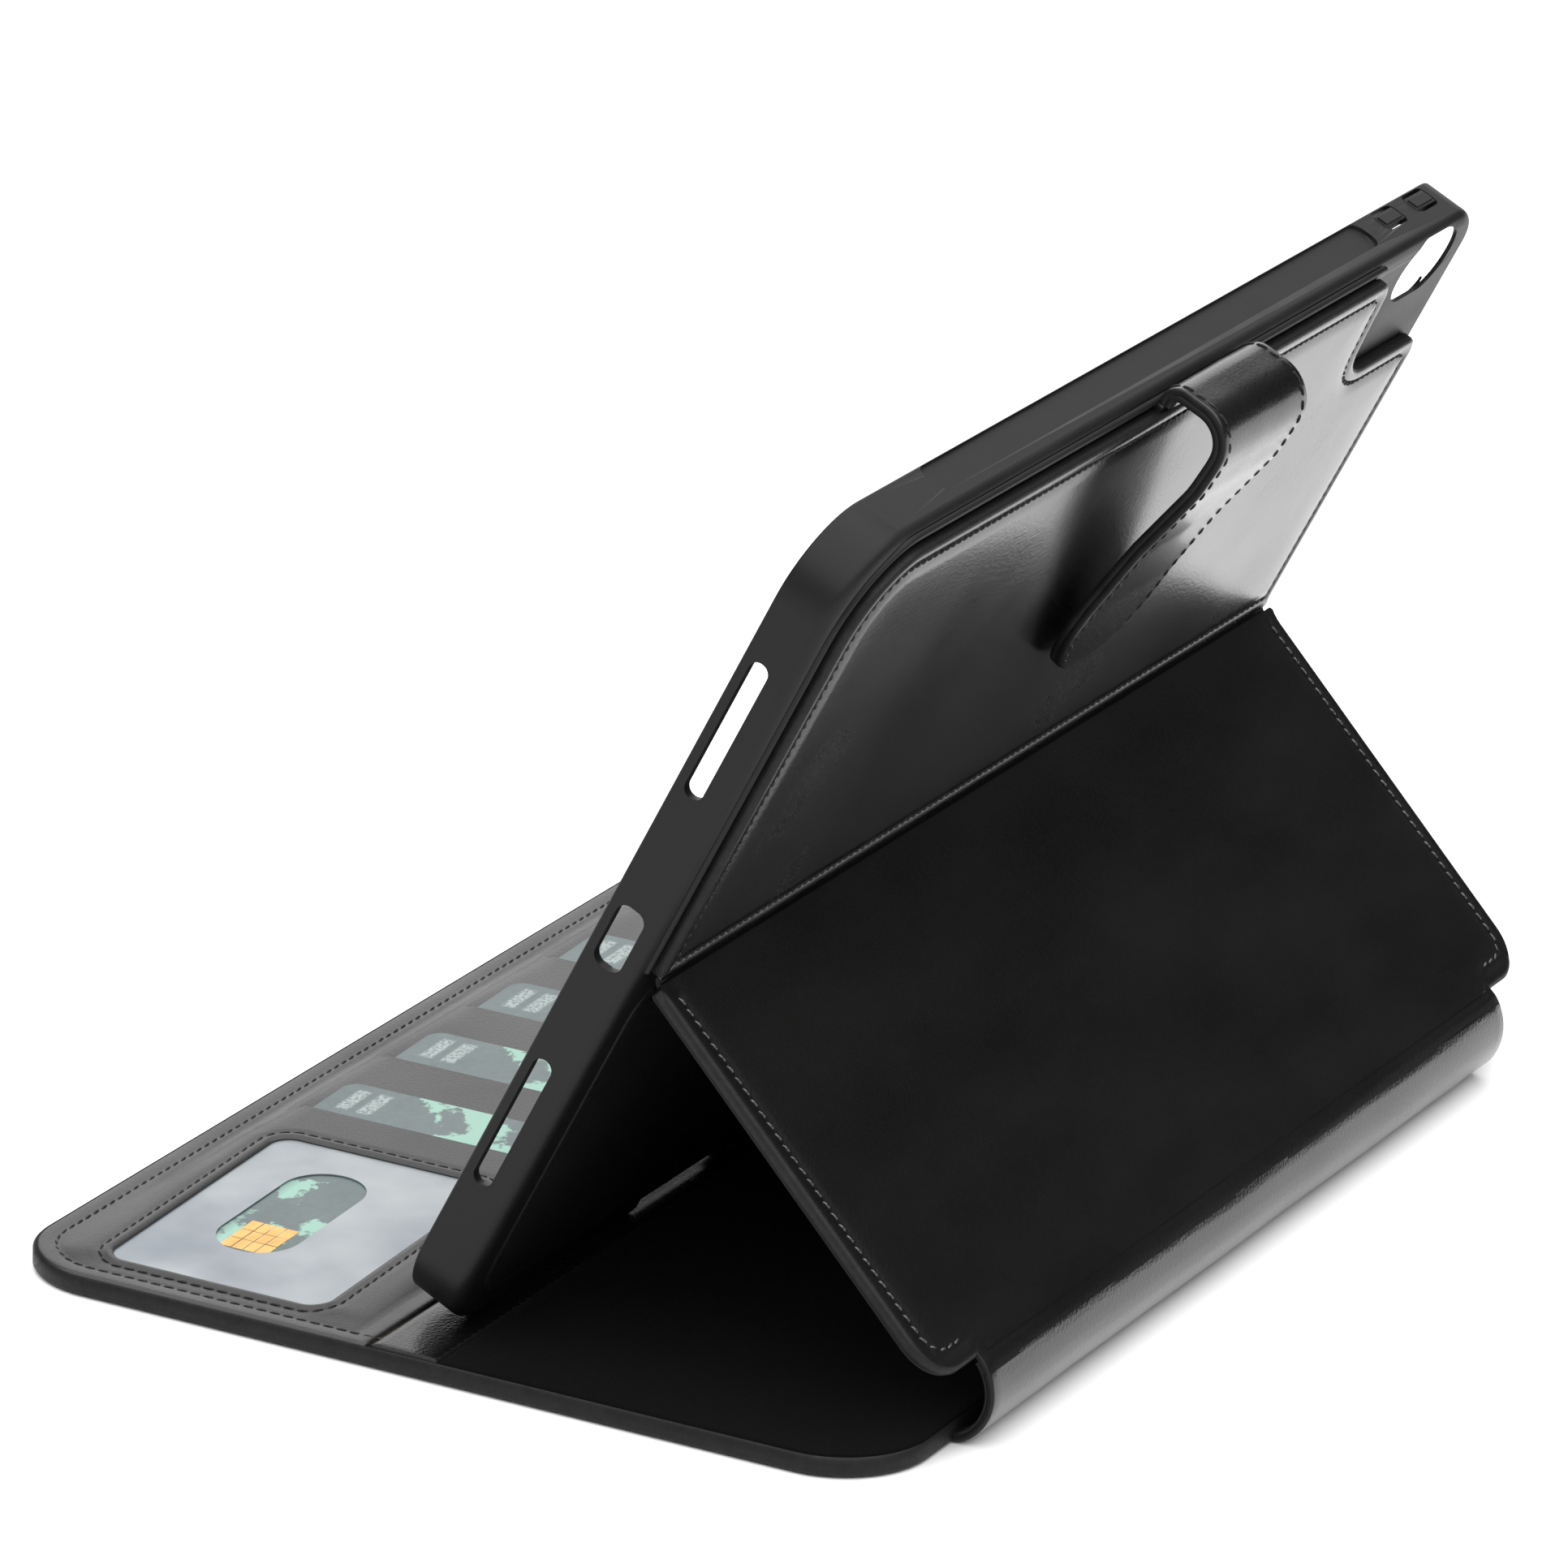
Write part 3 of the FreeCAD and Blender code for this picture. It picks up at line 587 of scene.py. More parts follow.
COVER_LEATHER = leather("cover_leather", BLACK, WORN_BLACK, 0.33, 1.2, 0.1)
EDGE_PAINT = painted_edge("edge_paint", (0.0055, 0.0055, 0.006), 0.5)
DARK_THREAD = thread("dark_thread", (0.0030, 0.0030, 0.0033), 0.5, 0.3)
# kickstand thread: glossy, and about three times as light as the dark thread, so its base colour paints part
# of the glint
GLOSSY_THREAD_PAINTED_GLINT = thread("glossy_thread_painted_glint", (0.010, 0.010, 0.011), 0.26, 0.9)
SUEDE = cloth("suede", (0.0007, 0.0007, 0.0008), (0.0036, 0.0034, 0.0033), 2300.0, 0.015)
MICROFIBRE = cloth("microfibre", (0.008, 0.008, 0.009), (0.022, 0.022, 0.024), 3000.0, 0.12)
TPU = plastic("tray_tpu", (0.0060, 0.0060, 0.0063), 0.45, 0.2)
CARD = card_print("card_print")
FILM = hazy_film("window_film")
GOLD = gold_contact("gold_contact")
BOARD = fibre("board", (0.16, 0.13, 0.10), (0.26, 0.22, 0.17), 700.0)
FOAM = fibre("foam", (0.05, 0.05, 0.055), (0.10, 0.10, 0.11), 1800.0)
MAGNET = metal("magnet", (0.62, 0.61, 0.60), 0.25)
STEEL = metal("steel", (0.50, 0.50, 0.51), 0.35)


# ---- pieces kept from the frame ----------------------------------------
def finish_node(node, material, bevel=0.0):
    """A CAD node keeps its shape and gets its finish, with a fine round on its edges."""
    obj = frame["nodes"][node]
    obj.data.materials.clear()
    obj.data.materials.append(material)
    if bevel:
        weld = obj.modifiers.new("weld", "WELD")
        weld.merge_threshold = 0.002 * MM
        rounded = obj.modifiers.new("bevel", "BEVEL")
        rounded.width, rounded.segments = bevel * MM, 2
        rounded.angle_limit = math.radians(38)
        rounded.harden_normals = True
    return obj


KEPT = {
    "tray_shell": (TPU, 0.22), "tray_lining": (MICROFIBRE, 0), "tray_steel_plate": (STEEL, 0),
    "volume_up_button": (TPU, 0.2), "volume_down_button": (TPU, 0.2),
    "kick_lining": (MICROFIBRE, 0.15), "kick_board": (BOARD, 0), "kick_magnets": (MAGNET, 0.15),
    "upper_panel_board": (BOARD, 0), "upper_panel_foam": (FOAM, 0), "strap_anchor": (INNER_LEATHER, 0),
    "strap_magnets": (MAGNET, 0.1), "cover_board": (BOARD, 0), "cover_magnets": (MAGNET, 0.15),
    "pocket_backing": (INNER_LEATHER, 0), "window_film": (FILM, 0), "spine_lining": (MICROFIBRE, 0),
}
for node_name, (node_finish, node_bevel) in KEPT.items():
    finish_node(node_name, node_finish, node_bevel)
for number in range(1, 6):
    finish_node("card_%d" % number, CARD, 0.12)


# ---- front cover --------------------------------------------------------
COVER_LOW, COVER_HIGH = COVER.span("cover_outer_leather")
COVER_TOP = COVER.span("cover_suede_lining")[1][2]
FREE_EDGE, COVER_BACK = COVER_LOW[1], COVER_HIGH[1]
LANDING_BACK = COVER.span("cover_suede_lining")[0][1]
STRIP_LOW, STRIP_HIGH = COVER.span("cover_landing_strip")
POCKET_EDGE = COVER.span("document_pocket_panel")[1][1]
BORDER = 0.55               # the top layers stop this far inside the painted edge


def cover_outline(inset):
    return rectangle(COVER_LOW, COVER_HIGH, inset, COVER_R)


def make_cover_shell():
    """Outer leather, wrapped up the sides as the painted edge band."""
    profile = [(0, -0.8), (0.25, -0.35), (0.8, -0.04), (1.4, 0.0), (3.7, 0.0), (SEAM, -0.2), (5.1, 0.0),
               (9.0, 0.0)]
    shell = skin("cover_shell_skin", UNDER, cover_outline, profile, -(COVER_TOP - 0.25),
                 [COVER_LEATHER, EDGE_PAINT], lambda p, inset: -0.05 * (0.5 + ripple(p, 40.0, 3.0)))
    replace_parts(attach(shell, "front_cover"), "cover_outer_leather")
    row = leaf_stitches("cover_outer_stitches", UNDER, outline(cover_outline(SEAM), 1.5), -0.25,
                        DARK_THREAD, lift=0.0)
    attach(row, "front_cover")


def half_outline(low_v, high_v, radius_low, radius_high):
    """Corners of the part of the cover between two heights."""
    def corners(inset):
        u = COVER_HIGH[0] - BORDER - inset
        a, b = low_v + inset, high_v - inset
        ra, rb = (max(r - BORDER - inset, 0.3) if r else 0.0 for r in (radius_low, radius_high))
        return [(-u, a, ra), (u, a, ra), (u, b, rb), (-u, b, rb)]
    return corners


def make_suede():
    top = COVER_TOP
    profile = [(0, top - 0.5), (0.2, top - 0.2), (0.6, top - 0.03), (1.1, top), (8.0, top)]
    lining = skin("suede_skin", COVER, half_outline(LANDING_BACK, COVER_BACK - BORDER, 0, COVER_R),
                  profile, top - 1.2, [SUEDE],
                  lambda p, inset: 0.05 * ripple(p, 14.0, 1.0) + 0.03 * ripple(p, 3.0, 2.0), 2.5)
    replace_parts(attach(lining, "front_cover"), "cover_suede_lining")


def make_landing_strip():
    top = STRIP_HIGH[2]
    low, high = (STRIP_LOW[0] + BORDER, STRIP_LOW[1]), (STRIP_HIGH[0] - BORDER, STRIP_HIGH[1])
    profile = [(0, top - 0.45), (0.25, top - 0.15), (0.7, top), (2.0, top + 0.02), (6.5, top - 0.08)]
    strip = skin("landing_strip_skin", COVER, lambda inset: rectangle(low, high, inset, 0.5), profile,
                 COVER_TOP - 1.2, [LANDING_LEATHER, EDGE_PAINT], lambda p, inset: 0.06 * ripple(p, 7.0, 5.0))
    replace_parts(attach(strip, "front_cover"), "cover_landing_strip")


# ---- card panel: one sheet of leather with slits for the cards ----------
CARD_BOXES = [[np.array(c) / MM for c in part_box("card_%d" % n)] for n in range(1, 6)]
CARD_MID = (CARD_BOXES[0][0][1] + CARD_BOXES[0][1][1]) / 2
SLIDE = joint("card_1_slide")["axis"]
CARD_SLOPE = -SLIDE[2] / SLIDE[0]
MOUTHS = [low[0] + CARD_SHOWS for low, _ in CARD_BOXES]
PLY, WINDOW_PLY, CARD_ROOM = 0.40, 0.92, 0.80
SLIT_HALF, SLIT_POINTS = CARD_HALF + 2.6, 61
WINDOW_LOW = np.array([MOUTHS[0] + 13.6, CARD_MID - 24.6])
WINDOW_HIGH = np.array([COVER_HIGH[0] - 9.8, CARD_MID + 21.4])
WINDOW_R, WINDOW_SEAM = 4.0, 2.4


def smooth(t):
    """0 to 1 with an easy start and end."""
    t = np.clip(t, 0, 1)
    return t * t * (3 - 2 * t)


def card_top(number, u):
    """Height of a card's upper face, numbered from 0 at the window."""
    low, high = CARD_BOXES[number]
    return high[2] - (u - low[0]) * CARD_SLOPE


def over_cards(u, strip):
    """Height of the sheet over the cards: strip is how many slits lie on the +X side."""
    if strip == 0:
        return card_top(0, u) + WINDOW_PLY
    if strip < len(MOUTHS):
        return card_top(strip, u) + PLY
    return card_top(strip - 1, u) - CARD_ROOM


def beside_cards(u):
    """Height of the sheet beyond the slits' ends."""
    level = card_top(1, MOUTHS[1] + 15.85) + PLY
    far, near = MOUTHS[-1] - CARD_SHOWS, MOUTHS[0]
    places = [far - 16.0, far - 2.0, far + 16.0, near, near + 14.0, COVER_HIGH[0] - 4.0]
    heights = [COVER_TOP, level - 0.9, level, level + 0.2, card_top(0, near + 14.0) + WINDOW_PLY,
               card_top(0, COVER_HIGH[0] - 4.0) + WINDOW_PLY]
    return np.interp(u, places, heights)


def sheet_height(points, strips):
    """Height of the card panel's sheet at points (u, v) that lie on those strips."""
    u, v = points.T
    over = np.array([over_cards(a, s) for a, s in zip(u, strips)])
    beside = beside_cards(u)
    sideways = smooth((np.abs(v - CARD_MID) - CARD_HALF - 0.3) / 2.2)
    far = MOUTHS[-1] - CARD_SHOWS
    sideways = np.maximum(sideways, smooth((far - 0.5 - u) / 3.0))
    raised = over + (beside - over) * sideways
    rise = smooth((v - FREE_EDGE - SEAM - 0.8) / 7.5) * smooth((POCKET_EDGE - 2.6 - v) / 5.0)
    rise = rise * smooth((COVER_HIGH[0] - SEAM - 0.8 - u) / 6.0)
    return COVER_TOP + (raised - COVER_TOP) * rise


def pocket_outline(inset):
    return half_outline(FREE_EDGE + BORDER, POCKET_EDGE, COVER_R, 0)(inset)


def window_outline(inset):
    return rectangle(WINDOW_LOW, WINDOW_HIGH, inset, WINDOW_R)


def card_panel_mesh():
    """Points, triangles and fine relief of the sheet, and how many slits lie on each face's +X side."""
    insets = [0, 0.25, 0.7, 1.3, 3.0, SEAM - BORDER, 4.7, 6.5]
    edge = [-0.5, -0.2, -0.03, 0, 0, -0.22, 0, 0]
    hole_insets = [0, 0.25, 0.8, 1.5, WINDOW_SEAM, 3.2, 4.5]
    hole_edge = [-0.38, -0.15, 0.12, 0.18, -0.22, 0.0, 0.0]
    rings = [outline(pocket_outline(i)) for i in insets]
    holes = [outline(window_outline(-i), 1.5) for i in hole_insets]
    slit = CARD_MID + np.linspace(-SLIT_HALF, SLIT_HALF, SLIT_POINTS)
    slits = [np.column_stack([np.full(SLIT_POINTS, m), slit]) for m in MOUTHS]
    verts, faces = flat_mesh(rings, [holes], slits, 2.2)
    strips = (verts[faces].mean(1)[:, :1] < np.array(MOUTHS)).sum(1)
    depth, rim = distance(verts, rings[0]), distance(verts, holes[0])
    relief = np.interp(depth, insets, edge) + np.interp(rim, hole_insets, hole_edge)
    relief += -0.2 * np.exp(-((POCKET_EDGE - verts[:, 1] - 2.2) / 0.5) ** 2)
    free = 0.2 + 0.8 * smooth((np.abs(verts[:, 1] - CARD_MID) - CARD_HALF - 0.5) / 3.0)
    wavy = 0.16 * ripple(verts, 24.0, 7.0) + 0.05 * ripple(verts, 6.0, 8.0)
    return verts, faces, strips, relief + wavy * free * smooth(depth / 8.0)


def make_card_panel():
    verts, faces, strips, relief = card_panel_mesh()
    bm = bmesh.new()
    made = {}
    for face, strip in zip(faces, strips):
        corners = []
        for i in face:
            on_slit = any(abs(verts[i][0] - m) < 1e-3 for m in MOUTHS)
            inner = abs(verts[i][1] - CARD_MID) < SLIT_HALF - 1e-3
            key = (i, strip) if on_slit and inner else i
            if key not in made:
                w = sheet_height(verts[i:i + 1], [strip])[0] + relief[i]
                made[key] = bm.verts.new((*verts[i], w))
            corners.append(made[key])
        bm.faces.new(corners)
    for v in bm.verts:
        v.co = COVER.world([v.co])[0]
    sheet = make_object("card_panel_skin", bm, [INNER_LEATHER], 50.0)
    turn_out(sheet, COVER.out)
    thicken(sheet, 0.32)
    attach(sheet, "front_cover")
    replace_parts(sheet, "document_pocket_panel", "window_pocket_panel", "card_pocket_2", "card_pocket_3",
                "card_pocket_4", "card_pocket_5")


def sew_card_panel():
    """Stitches around the window, and along the cover's edge as far as the landing strip."""
    window = outline(window_outline(-WINDOW_SEAM), 1.5)
    heights = sheet_height(window, [0] * len(window)) - 0.14
    row = leaf_stitches("window_stitches", COVER, window, heights, DARK_THREAD, lift=0.04)
    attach(row, "front_cover")
    u, back, front, r = COVER_HIGH[0] - SEAM, LANDING_BACK - 1.0, FREE_EDGE + SEAM, COVER_R - SEAM
    border = outline([(-u, back, 0), (-u, front, r), (u, front, r), (u, back, 0)], 1.5, closed=False)
    row = leaf_stitches("cover_border_stitches", COVER, border, COVER_TOP - 0.16, DARK_THREAD,
                        closed=False, lift=0.04)
    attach(row, "front_cover")


CHIP_END, CHIP_SIDE = 9.0, -9.9         # from the card's end, and from its centre line
CHIP_LENGTH, CHIP_WIDTH, CHIP_GAP = 12.2, 10.2, 0.2
CHIP_COLUMNS, CHIP_ROWS = (0, 0.34, 0.66, 1.0), (0, 0.26, 0.5, 0.74, 1.0)


def make_chips():
    """Contact plates on the cards, cut into their fields by fine gaps."""
    for number, (_, high) in enumerate(CARD_BOXES):
        bm = bmesh.new()
        end, rim = high[0] - CHIP_END, CHIP_GAP / 2
        for a, b in zip(CHIP_COLUMNS, CHIP_COLUMNS[1:]):
            for c, d in zip(CHIP_ROWS, CHIP_ROWS[1:]):
                u0, u1 = end - CHIP_LENGTH * (1 - a) + rim, end - CHIP_LENGTH * (1 - b) - rim
                v0, v1 = (CARD_MID + CHIP_SIDE + CHIP_WIDTH * t for t in (c, d))
                field = [(u0, v0 + rim), (u1, v0 + rim), (u1, v1 - rim), (u0, v1 - rim)]
                bm.faces.new([bm.verts.new(COVER.world([(u, v, card_top(number, u) + 0.03)])[0])
                              for u, v in field])
        chip = make_object("card_chip_%d" % (number + 1), bm, [GOLD])
        turn_out(chip, COVER.out)
        thicken(chip, 0.03)
        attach(chip, "card_%d" % (number + 1))


# ---- upper panel, kickstand and inlay -----------------------------------
SPINE_HIGH = COVER.span("spine_leather")[1]
PANEL_LOW, PANEL_HIGH = TRAY.span("upper_panel_leather")
KICK_LOW, KICK_HIGH = KICK.span("kick_leather")
INLAY_LOW, INLAY_HIGH = TRAY.span("back_inlay")
SHELL_LOW, SHELL_HIGH = TRAY.span("tray_shell")
TRAY_FOOT_V, RIM_W = SHELL_LOW[1], SHELL_LOW[2]


def panel_outline(inset):
    """Panel's corners, with the camera corner left out."""
    half, low, top = PANEL_HIGH[0] - inset, PANEL_LOW[1] + inset, PANEL_HIGH[1] - inset
    notch_u, notch_v = NOTCH_X + inset, TRAY_FOOT_V + NOTCH_V - inset
    return [(-half, low, 0.8), (half, low, 0.8), (half, top, PANEL_R - inset),
            (notch_u, top, 4.0), (notch_u - 4.0, notch_v, NOTCH_INNER_R + inset),
            (-half, notch_v, 4.0)]


def make_panel():
    top = PANEL_HIGH[2]
    border = top - 0.3
    profile = [(0, border - 0.8), (0.2, border - 0.36), (0.6, border - 0.08), (1.2, border), (2.2, border),
               (PANEL_SEAM - 0.4, border - 0.3), (PANEL_SEAM, border - 0.42),
               (PANEL_SEAM + 0.4, border - 0.3), (4.2, border + 0.08), (6.5, border + 0.22), (12.0, top)]
    panel = skin("upper_panel_skin", TRAY, panel_outline, profile, PANEL_LOW[2], [PANEL_LEATHER, EDGE_PAINT],
                 lambda p, inset: smooth((inset - 7) / 12) * (0.12 * ripple(p, 48.0, 11.0)
                                                              + 0.02 * ripple(p, 15.0, 12.0)),
                 runs_on=lambda p: smooth((PANEL_LOW[1] + 2.5 - p[:, 1]) / 1.2))
    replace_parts(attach(panel, "tray"), "upper_panel_leather")
    row = leaf_stitches("upper_panel_stitches", TRAY, outline(panel_outline(PANEL_SEAM), 1.5),
                        border - 0.34, DARK_THREAD, slant=24.0, thick=0.4, pitch=2.2)
    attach(row, "tray")


def kick_outline(inset):
    half, low, top = KICK_HIGH[0] - inset, KICK_LOW[1] + inset, KICK_HIGH[1] - inset
    r = KICK_R - inset if inset < KICK_R - 2 else 2.0
    return [(-half, low, r), (half, low, r), (half, top, 0.8), (-half, top, 0.8)]


def kick_edge_inset(points):
    """Distance from the kickstand's sides alone, since its top and foot run on into the folds."""
    side = KICK_HIGH[0] - np.abs(points[:, 0])
    foot_free = np.abs(points[:, 0]) - SPINE_HIGH[0]
    foot = points[:, 1] - KICK_LOW[1] + 30.0 * smooth(-foot_free / 6.0)
    return np.minimum(side, foot)


def make_kick():
    top = KICK_HIGH[2] + 0.45
    profile = [(0, top - 0.9), (0.2, top - 0.55), (0.6, top - 0.25), (1.2, top - 0.15), (2.4, top - 0.15),
               (3.2, top - 0.15), (3.8, top - 0.15), (4.6, top - 0.14), (6.0, top - 0.12), (9.0, top - 0.1)]
    lower = KICK.span("kick_lining")[1][2]

    def shape(points, inset):
        side = kick_edge_inset(points)
        groove = np.interp(side, [1.2, 2.4, 3.2, 3.8, 4.6, 6.0, 9.0],
                           [0.05, 0.0, -0.22, -0.28, -0.05, 0.10, 0.12])
        slow = smooth((inset - 5) / 10)
        slanted = points @ np.array([[1.0, 0.35], [-0.9, 0.4]])
        return groove + slow * (0.16 * ripple(points, 70.0, 21.0) + 0.07 * ripple(slanted, 9.0, 22.0))

    def into_folds(points):
        """1 along the crease, and along the foot where the spine joins it."""
        crease = smooth((points[:, 1] - KICK_HIGH[1] + 2.5) / 1.2)
        foot = smooth((KICK_LOW[1] + 2.5 - points[:, 1]) / 1.2)
        return np.maximum(crease, foot * smooth((SPINE_HIGH[0] - np.abs(points[:, 0])) / 3.0))

    kick = skin("kickstand_skin", KICK, kick_outline, profile, lower, [KICK_LEATHER, EDGE_PAINT], shape,
                runs_on=into_folds)
    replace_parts(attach(kick, "kickstand"), "kick_leather")
    low, high = KICK_LOW[1] + SEAM, KICK_HIGH[1] - 3.0
    for side, label in ((-1, "far"), (1, "near")):
        u = side * (KICK_HIGH[0] - KICK_SEAM)
        foot = side * (SPINE_HIGH[0] + 2.0)
        path = outline([(foot, low, 0), (u, low, 5.0), (u, high, 0)], 1.5, closed=False)
        # stitches in the lighter thread, whose base colour is partly a painted glint
        row = leaf_stitches("kickstand_stitches_" + label, KICK, path, top - 0.36, GLOSSY_THREAD_PAINTED_GLINT,
                            closed=False, slant=14.0, thick=0.3, pitch=2.4)
        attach(row, "kickstand")


def make_inlay():
    top = INLAY_HIGH[2] + 0.3
    profile = [(0, top - 0.35), (0.25, top - 0.1), (0.7, top), (1.7, top), (2.4, top - 0.15), (3.1, top),
               (6.0, top + 0.05)]
    inlay = skin("back_inlay_skin", TRAY, lambda inset: rectangle(INLAY_LOW, INLAY_HIGH, inset, INLAY_R),
                 profile, INLAY_LOW[2], [INNER_LEATHER, EDGE_PAINT], thickness=0.3)
    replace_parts(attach(inlay, "tray"), "back_inlay")
    seam = outline(rectangle(INLAY_LOW, INLAY_HIGH, INLAY_SEAM, INLAY_R))
    row = leaf_stitches("back_inlay_stitches", TRAY, seam, top - 0.22, DARK_THREAD, lift=0.03, thick=0.16)
    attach(row, "tray")


# ---- sheets swept along a bend ------------------------------------------
SIDE_POINTS = 11                    # points of a swept strip's section down each side
PLY_GROOVE = 0.12                   # line between the two plies


def section(half, thickness, columns):
    """Closed section (u, depth under the outer face) of a two-ply strip with rounded edges."""
    r = min(0.35 * thickness, 0.6)
    turn = np.radians([0, 30, 60, 90])
    edge = [(half - r + r * math.sin(a), r - r * math.cos(a)) for a in turn]
    middle = thickness / 2
    notch = [(half, middle - PLY_GROOVE), (half - PLY_GROOVE, middle), (half, middle + PLY_GROOVE)]
    side = edge + notch + [(u, thickness - d) for u, d in edge[::-1]]
    flat = np.linspace(-1, 1, columns)[1:-1] * (half - r)
    outer = [(u, 0.0) for u in flat]
    inner = [(u, thickness) for u in flat[::-1]]
    left = [(-u, d) for u, d in side[::-1]]
    return np.array(outer + side + inner + left)


def swept(name, leaf, path, mid_u, half_at, thickness, columns, material, edge_material, wave=None):
    """Strip along path points (v, w) of its outer face, with the outside on the path's right."""
    right, along = right_of(path), lengths(path)
    bm = bmesh.new()
    loops = []
    for place, out, far in zip(path, right, along):
        loop = []
        for u, depth in section(half_at(far, along[-1]), thickness, columns):
            lift = -depth + (wave(u, far) if wave is not None and depth == 0 else 0.0)
            v, w = place + out * lift
            loop.append(bm.verts.new(leaf.world([(mid_u + u, v, w)])[0]))
        loops.append(loop)
    count = len(loops[0])
    flat = columns - 2
    for a, b in zip(loops, loops[1:]):
        for k in range(count):
            face = bm.faces.new((a[k], a[(k + 1) % count], b[(k + 1) % count], b[k]))
            on_face = (k < flat + 1 or k > count - 2
                       or flat + SIDE_POINTS - 1 < k < 2 * flat + SIDE_POINTS + 1)
            face.material_index = 0 if on_face else 1
    for loop in (loops[0][::-1], loops[-1]):
        bm.faces.new(loop).material_index = 1
    return make_object(name, bm, [material, edge_material], 50.0)


def row_along(leaf, path, mid_u, half_at, inset):
    """Stitch path and normals on both edges of a swept strip's outer face."""
    right, along = right_of(path), lengths(path)
    rows = []
    for side in (-1, 1):
        points = [(mid_u + side * (half_at(f, along[-1]) - inset), *p) for p, f in zip(path, along)]
        normals = np.column_stack([np.zeros(len(path)), right]) @ leaf.axes
        rows.append((leaf.world(points) / MM, normals))
    return rows


# ---- closure strap -------------------------------------------------------
STRAP_LOW, STRAP_HIGH = TRAY.span("strap_tab_leather")
STRAP_MID, STRAP_HALF = (STRAP_LOW[0] + STRAP_HIGH[0]) / 2, (STRAP_HIGH[0] - STRAP_LOW[0]) / 2
STRAP_THICK, STRAP_TIP_R = 2.8, 14.5
STRAP_BEND = np.array([0, -3.6, 1.8])       # half of the stretch that bends, from the hinge line
# The strap's middle line as (up the tray, out from its rim, bend radius).
STRAP_LINE = [(181.6, 13.05, 0), (185.1, 13.2, 2.6), (185.1, 26.5, 6.6), (177.0, 26.5, 12.0),
              (170.5, 26.0, 20.0), (154.0, 21.9, 40.0), (137.5, 19.1, 30.0), (119.2, 17.0, 0)]


def strap_half(far, total):
    """Half width of the strap, rounded off at its tip."""
    left = total - far
    if left >= STRAP_TIP_R:
        return STRAP_HALF
    across = math.sqrt(max(STRAP_TIP_R ** 2 - (STRAP_TIP_R - left) ** 2, 0.0))
    return max(STRAP_HALF - STRAP_TIP_R + across, 2.0)


def make_strap():
    line = outline(STRAP_LINE, 1.2, closed=False)
    face = line + right_of(line) * STRAP_THICK / 2 + np.array([TRAY_FOOT_V, RIM_W])

    def wave(u, far):
        return 0.10 * noise.noise(Vector((u / 9.0, far / 14.0, 31.0)))

    strap = swept("strap_skin", TRAY, face, STRAP_MID, strap_half, STRAP_THICK, 22, STRAP_LEATHER,
                  EDGE_PAINT, wave)
    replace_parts(strap, "strap_neck_leather", "strap_neck_backing",
                "strap_tab_leather", "strap_tab_backing")
    axis = np.array(joint("strap_tab_fold")["pos_m"], float) / MM @ TRAY.axes.T
    start, end = TRAY.world([axis - STRAP_BEND, axis + STRAP_BEND])
    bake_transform(strap)
    rows = row_along(TRAY, face, STRAP_MID, strap_half, STRAP_SEAM)
    for side, (path, normals) in zip(("far", "near"), rows):
        row = stitches("strap_stitches_" + side, path[4:-3], normals[4:-3], DARK_THREAD, closed=False)
        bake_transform(row)


# ---- spine, and the leather over the fold lines --------------------------
SPINE_HALF, SPINE_R, SPINE_MID = SPINE_HIGH[0], 11.0, 10.3
SPINE_CENTRE = np.array([SPINE_HIGH[1] - SPINE_R, SPINE_MID])
SPINE_THICK, SPINE_RUN = 1.9, 24.0       # ply, and length from the cover up to its top
CREASE, HINGE = (np.array(joint(name)["pos_m"], float)[1:] / MM for name in ("crease_fold", "spine_fold"))


def arc(centre, radius, first, last, count):
    """Points of an arc between two angles in degrees."""
    angles = np.radians(np.linspace(first, last, count))
    return centre + radius * np.column_stack([np.cos(angles), np.sin(angles)])


def full_width(half):
    """Half width of a strip that is as wide all along."""
    return lambda far, total: half


def make_spine():
    """Bulging spine from under the cover's back edge up to the kickstand's foot."""
    under = np.array([(COVER_BACK - 1.2, 0.32), (COVER_BACK - 0.2, 0.22), (COVER_BACK + 0.7, 0.2)])
    path = np.vstack([under, arc(SPINE_CENTRE, SPINE_R, -62.0, 27.0, 46)])

    def wave(u, far):
        from_top = SPINE_RUN - far
        end = smooth(np.array((SPINE_HALF - abs(u)) / 6.0))
        creases = 0.16 * noise.noise(Vector((u / 60.0, from_top / 1.7, 41.0))) * math.exp(-from_top / 6.0)
        return float(end) * (0.22 * noise.noise(Vector((u / 26.0, from_top / 12.0, 40.0))) + creases)

    spine = swept("spine_skin", COVER, path, 0.0, full_width(SPINE_HALF), SPINE_THICK, 90,
                  SPINE_LEATHER, EDGE_PAINT, wave)
    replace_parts(spine, "spine_leather")
    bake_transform(spine)


def make_kick_fold():
    """Wrinkled leather from the spine's top round the fold, and under the kickstand's foot."""
    foot_v, foot_w = KICK_LOW[1], KICK_HIGH[2]

    def on_kick(v, w):
        return KICK.world([(0, v, w)])[0][1:] / MM

    lower = arc(SPINE_CENTRE, SPINE_R, 24.0, 37.0, 5)
    corners = [(*p, 0) for p in lower] + [(*on_kick(foot_v - 0.1, foot_w + 0.12), 1.2),
                                          (*on_kick(foot_v + 2.6, foot_w + 0.12), 0)]
    line = outline(corners, 0.5, closed=False)

    def wave(u, far):
        return 0.10 * noise.noise(Vector((u / 34.0, far / 1.6, 51.0))) * min(1.0, far / 1.5)

    fold = swept("kick_fold_skin", COVER, line, 0.0, full_width(SPINE_HALF), 1.2, 90, KICK_LEATHER,
                 EDGE_PAINT, wave)
    start, end = KICK.world([(0, foot_v - 3.0, foot_w), (0, foot_v + 1.0, foot_w)])
    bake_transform(fold)


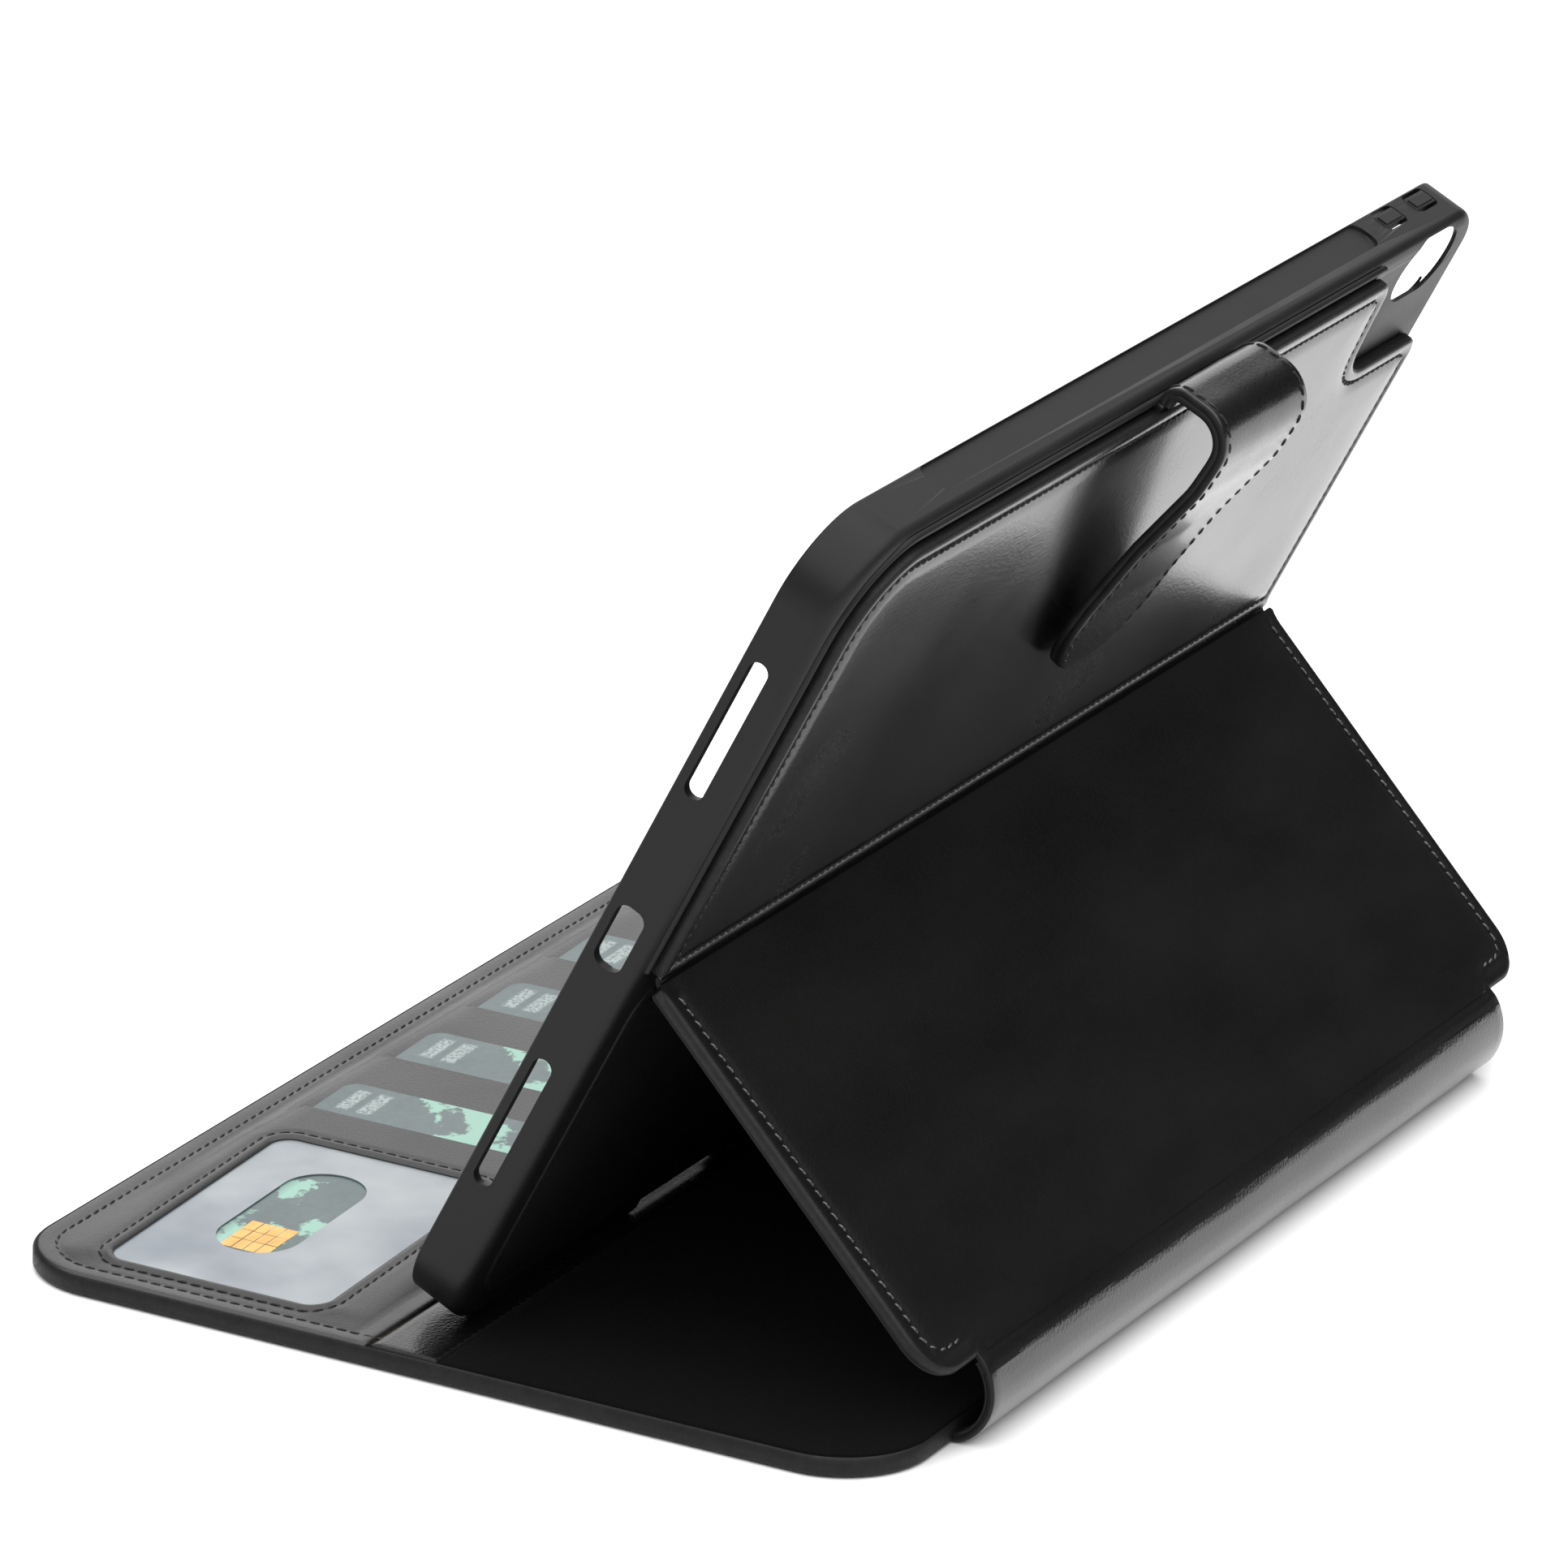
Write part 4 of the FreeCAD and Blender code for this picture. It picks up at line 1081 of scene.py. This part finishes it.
def make_crease():
    """Leather folded inwards between the panel and the kickstand."""
    panel = TRAY.world([(0, PANEL_LOW[1] + 2.4, PANEL_HIGH[2] - 1.0)])[0] / MM
    kick = KICK.world([(0, KICK_HIGH[1] - 2.4, KICK_HIGH[2] - 0.3)])[0] / MM
    out = unit(np.array(TRAY.out, float) + np.array(KICK.out, float))[1:]
    middle = CREASE - out * 0.6
    line = outline([(*kick[1:], 0), (*middle, 1.6), (*panel[1:], 0)], 0.5, closed=False)
    crease = swept("crease_skin", COVER, line, 0.0, full_width(PANEL_HIGH[0] - 0.3),
                   1.0, 60, KICK_LEATHER, EDGE_PAINT)
    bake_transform(crease)


# ---- moulded details on the tray ----------------------------------------
def bead(name, leaf, path, height, width, rise, material):
    """A fine moulded line along points (u, v) of a leaf, standing out by rise."""
    shape = [(-width / 2, -0.3), (-width / 2, rise * 0.5), (-width / 4, rise), (width / 4, rise),
             (width / 2, rise * 0.5), (width / 2, -0.3)]
    bm = bmesh.new()
    loops = [[bm.verts.new(leaf.world([(*(p + s * a), height + b)])[0]) for a, b in shape]
             for p, s in zip(path, right_of(path))]
    for a, b in zip(loops, loops[1:]):
        for k in range(len(shape)):
            n = (k + 1) % len(shape)
            bm.faces.new((a[k], a[n], b[n], b[k]))
    bm.faces.new(loops[0][::-1])
    bm.faces.new(loops[-1])
    return make_object(name, bm, [material], 60.0)


RIDGE_GAP, RIDGE_WIDTH, RIDGE_RISE = 1.7, 1.1, 0.75      # moulded line around the panel


def make_tray_details():
    """Moulded line around the panel, left out along the crease and at the camera."""
    ring = outline(panel_outline(-RIDGE_GAP), 2.0)
    keep = ring[:, 1] > PANEL_LOW[1] + 1.0
    keep &= ~((ring[:, 0] < NOTCH_X + 1.0) & (ring[:, 1] > TRAY_FOOT_V + NOTCH_V - 4.0))
    first = np.argmax(keep & ~np.roll(keep, 1))
    ring, keep = np.roll(ring, -first, 0), np.roll(keep, -first)
    breaks = np.flatnonzero(np.diff(keep.astype(int))) + 1
    runs = [run for run, kept in zip(np.split(ring, breaks), np.split(keep, breaks)) if kept[0]]
    for number, run in enumerate(runs, 1):
        if len(run) > 3:
            piece = bead("tray_back_ridge_%d" % number, TRAY, run, SHELL_HIGH[2], RIDGE_WIDTH,
                         RIDGE_RISE, TPU)
            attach(piece, "tray")


# ---- studio ---------------------------------------------------------------
CAMERA_PLACE = (1.6800, 0.8779, 0.7639)
CAMERA_TURN = (69.988, -1.824, 118.440)     # degrees about X, Y and Z
LENS, SENSOR = 247.42, 36.0


def soft_box(name, place, target, size, radiance):
    """An area light that shines with that radiance towards the target."""
    data = bpy.data.lights.new(name, "AREA")
    data.shape = "RECTANGLE"
    data.size, data.size_y = size
    data.energy = radiance * math.pi * size[0] * size[1]
    light = bpy.data.objects.new(name, data)
    light.location = place
    light.rotation_euler = (Vector(target) - Vector(place)).to_track_quat("-Z", "Y").to_euler()
    light.visible_camera = False
    bpy.context.scene.collection.objects.link(light)


def make_studio():
    bm = bmesh.new()
    bmesh.ops.create_grid(bm, x_segments=8, y_segments=8, size=9.0)
    floor = make_object("studio_floor", bm, [floor_finish("studio_floor")])
    floor.location.z = -0.0002
    sun_data = bpy.data.lights.new("overhead", "SUN")
    sun_data.energy, sun_data.angle = 6.2, math.radians(110)
    sun = bpy.data.objects.new("overhead", sun_data)
    sun.rotation_euler = Euler((math.radians(-8), math.radians(10), 0))
    bpy.context.scene.collection.objects.link(sun)
    soft_box("back_panel", (-1.9, -1.0, 0.95), (0, 0, 0.05), (2.0, 1.5), 1.8)
    world = bpy.data.worlds.new("studio")
    world.use_nodes = True
    sky = world.node_tree.nodes["Background"]
    sky.inputs["Color"].default_value = (0.95, 0.97, 1.0, 1.0)
    sky.inputs["Strength"].default_value = 0.035
    bpy.context.scene.world = world
    bpy.context.scene.view_settings.view_transform = "Standard"
    data = bpy.data.cameras.new("camera")
    data.lens, data.sensor_width, data.clip_start = LENS, SENSOR, 0.05
    camera = bpy.data.objects.new("camera", data)
    camera.location = CAMERA_PLACE
    camera.rotation_euler = Euler([math.radians(a) for a in CAMERA_TURN])
    bpy.context.scene.collection.objects.link(camera)
    bpy.context.scene.camera = camera


make_cover_shell()
make_suede()
make_landing_strip()
make_card_panel()
sew_card_panel()
make_chips()
make_panel()
make_kick()
make_inlay()
make_strap()
make_spine()
make_kick_fold()
make_crease()
make_tray_details()
make_studio()
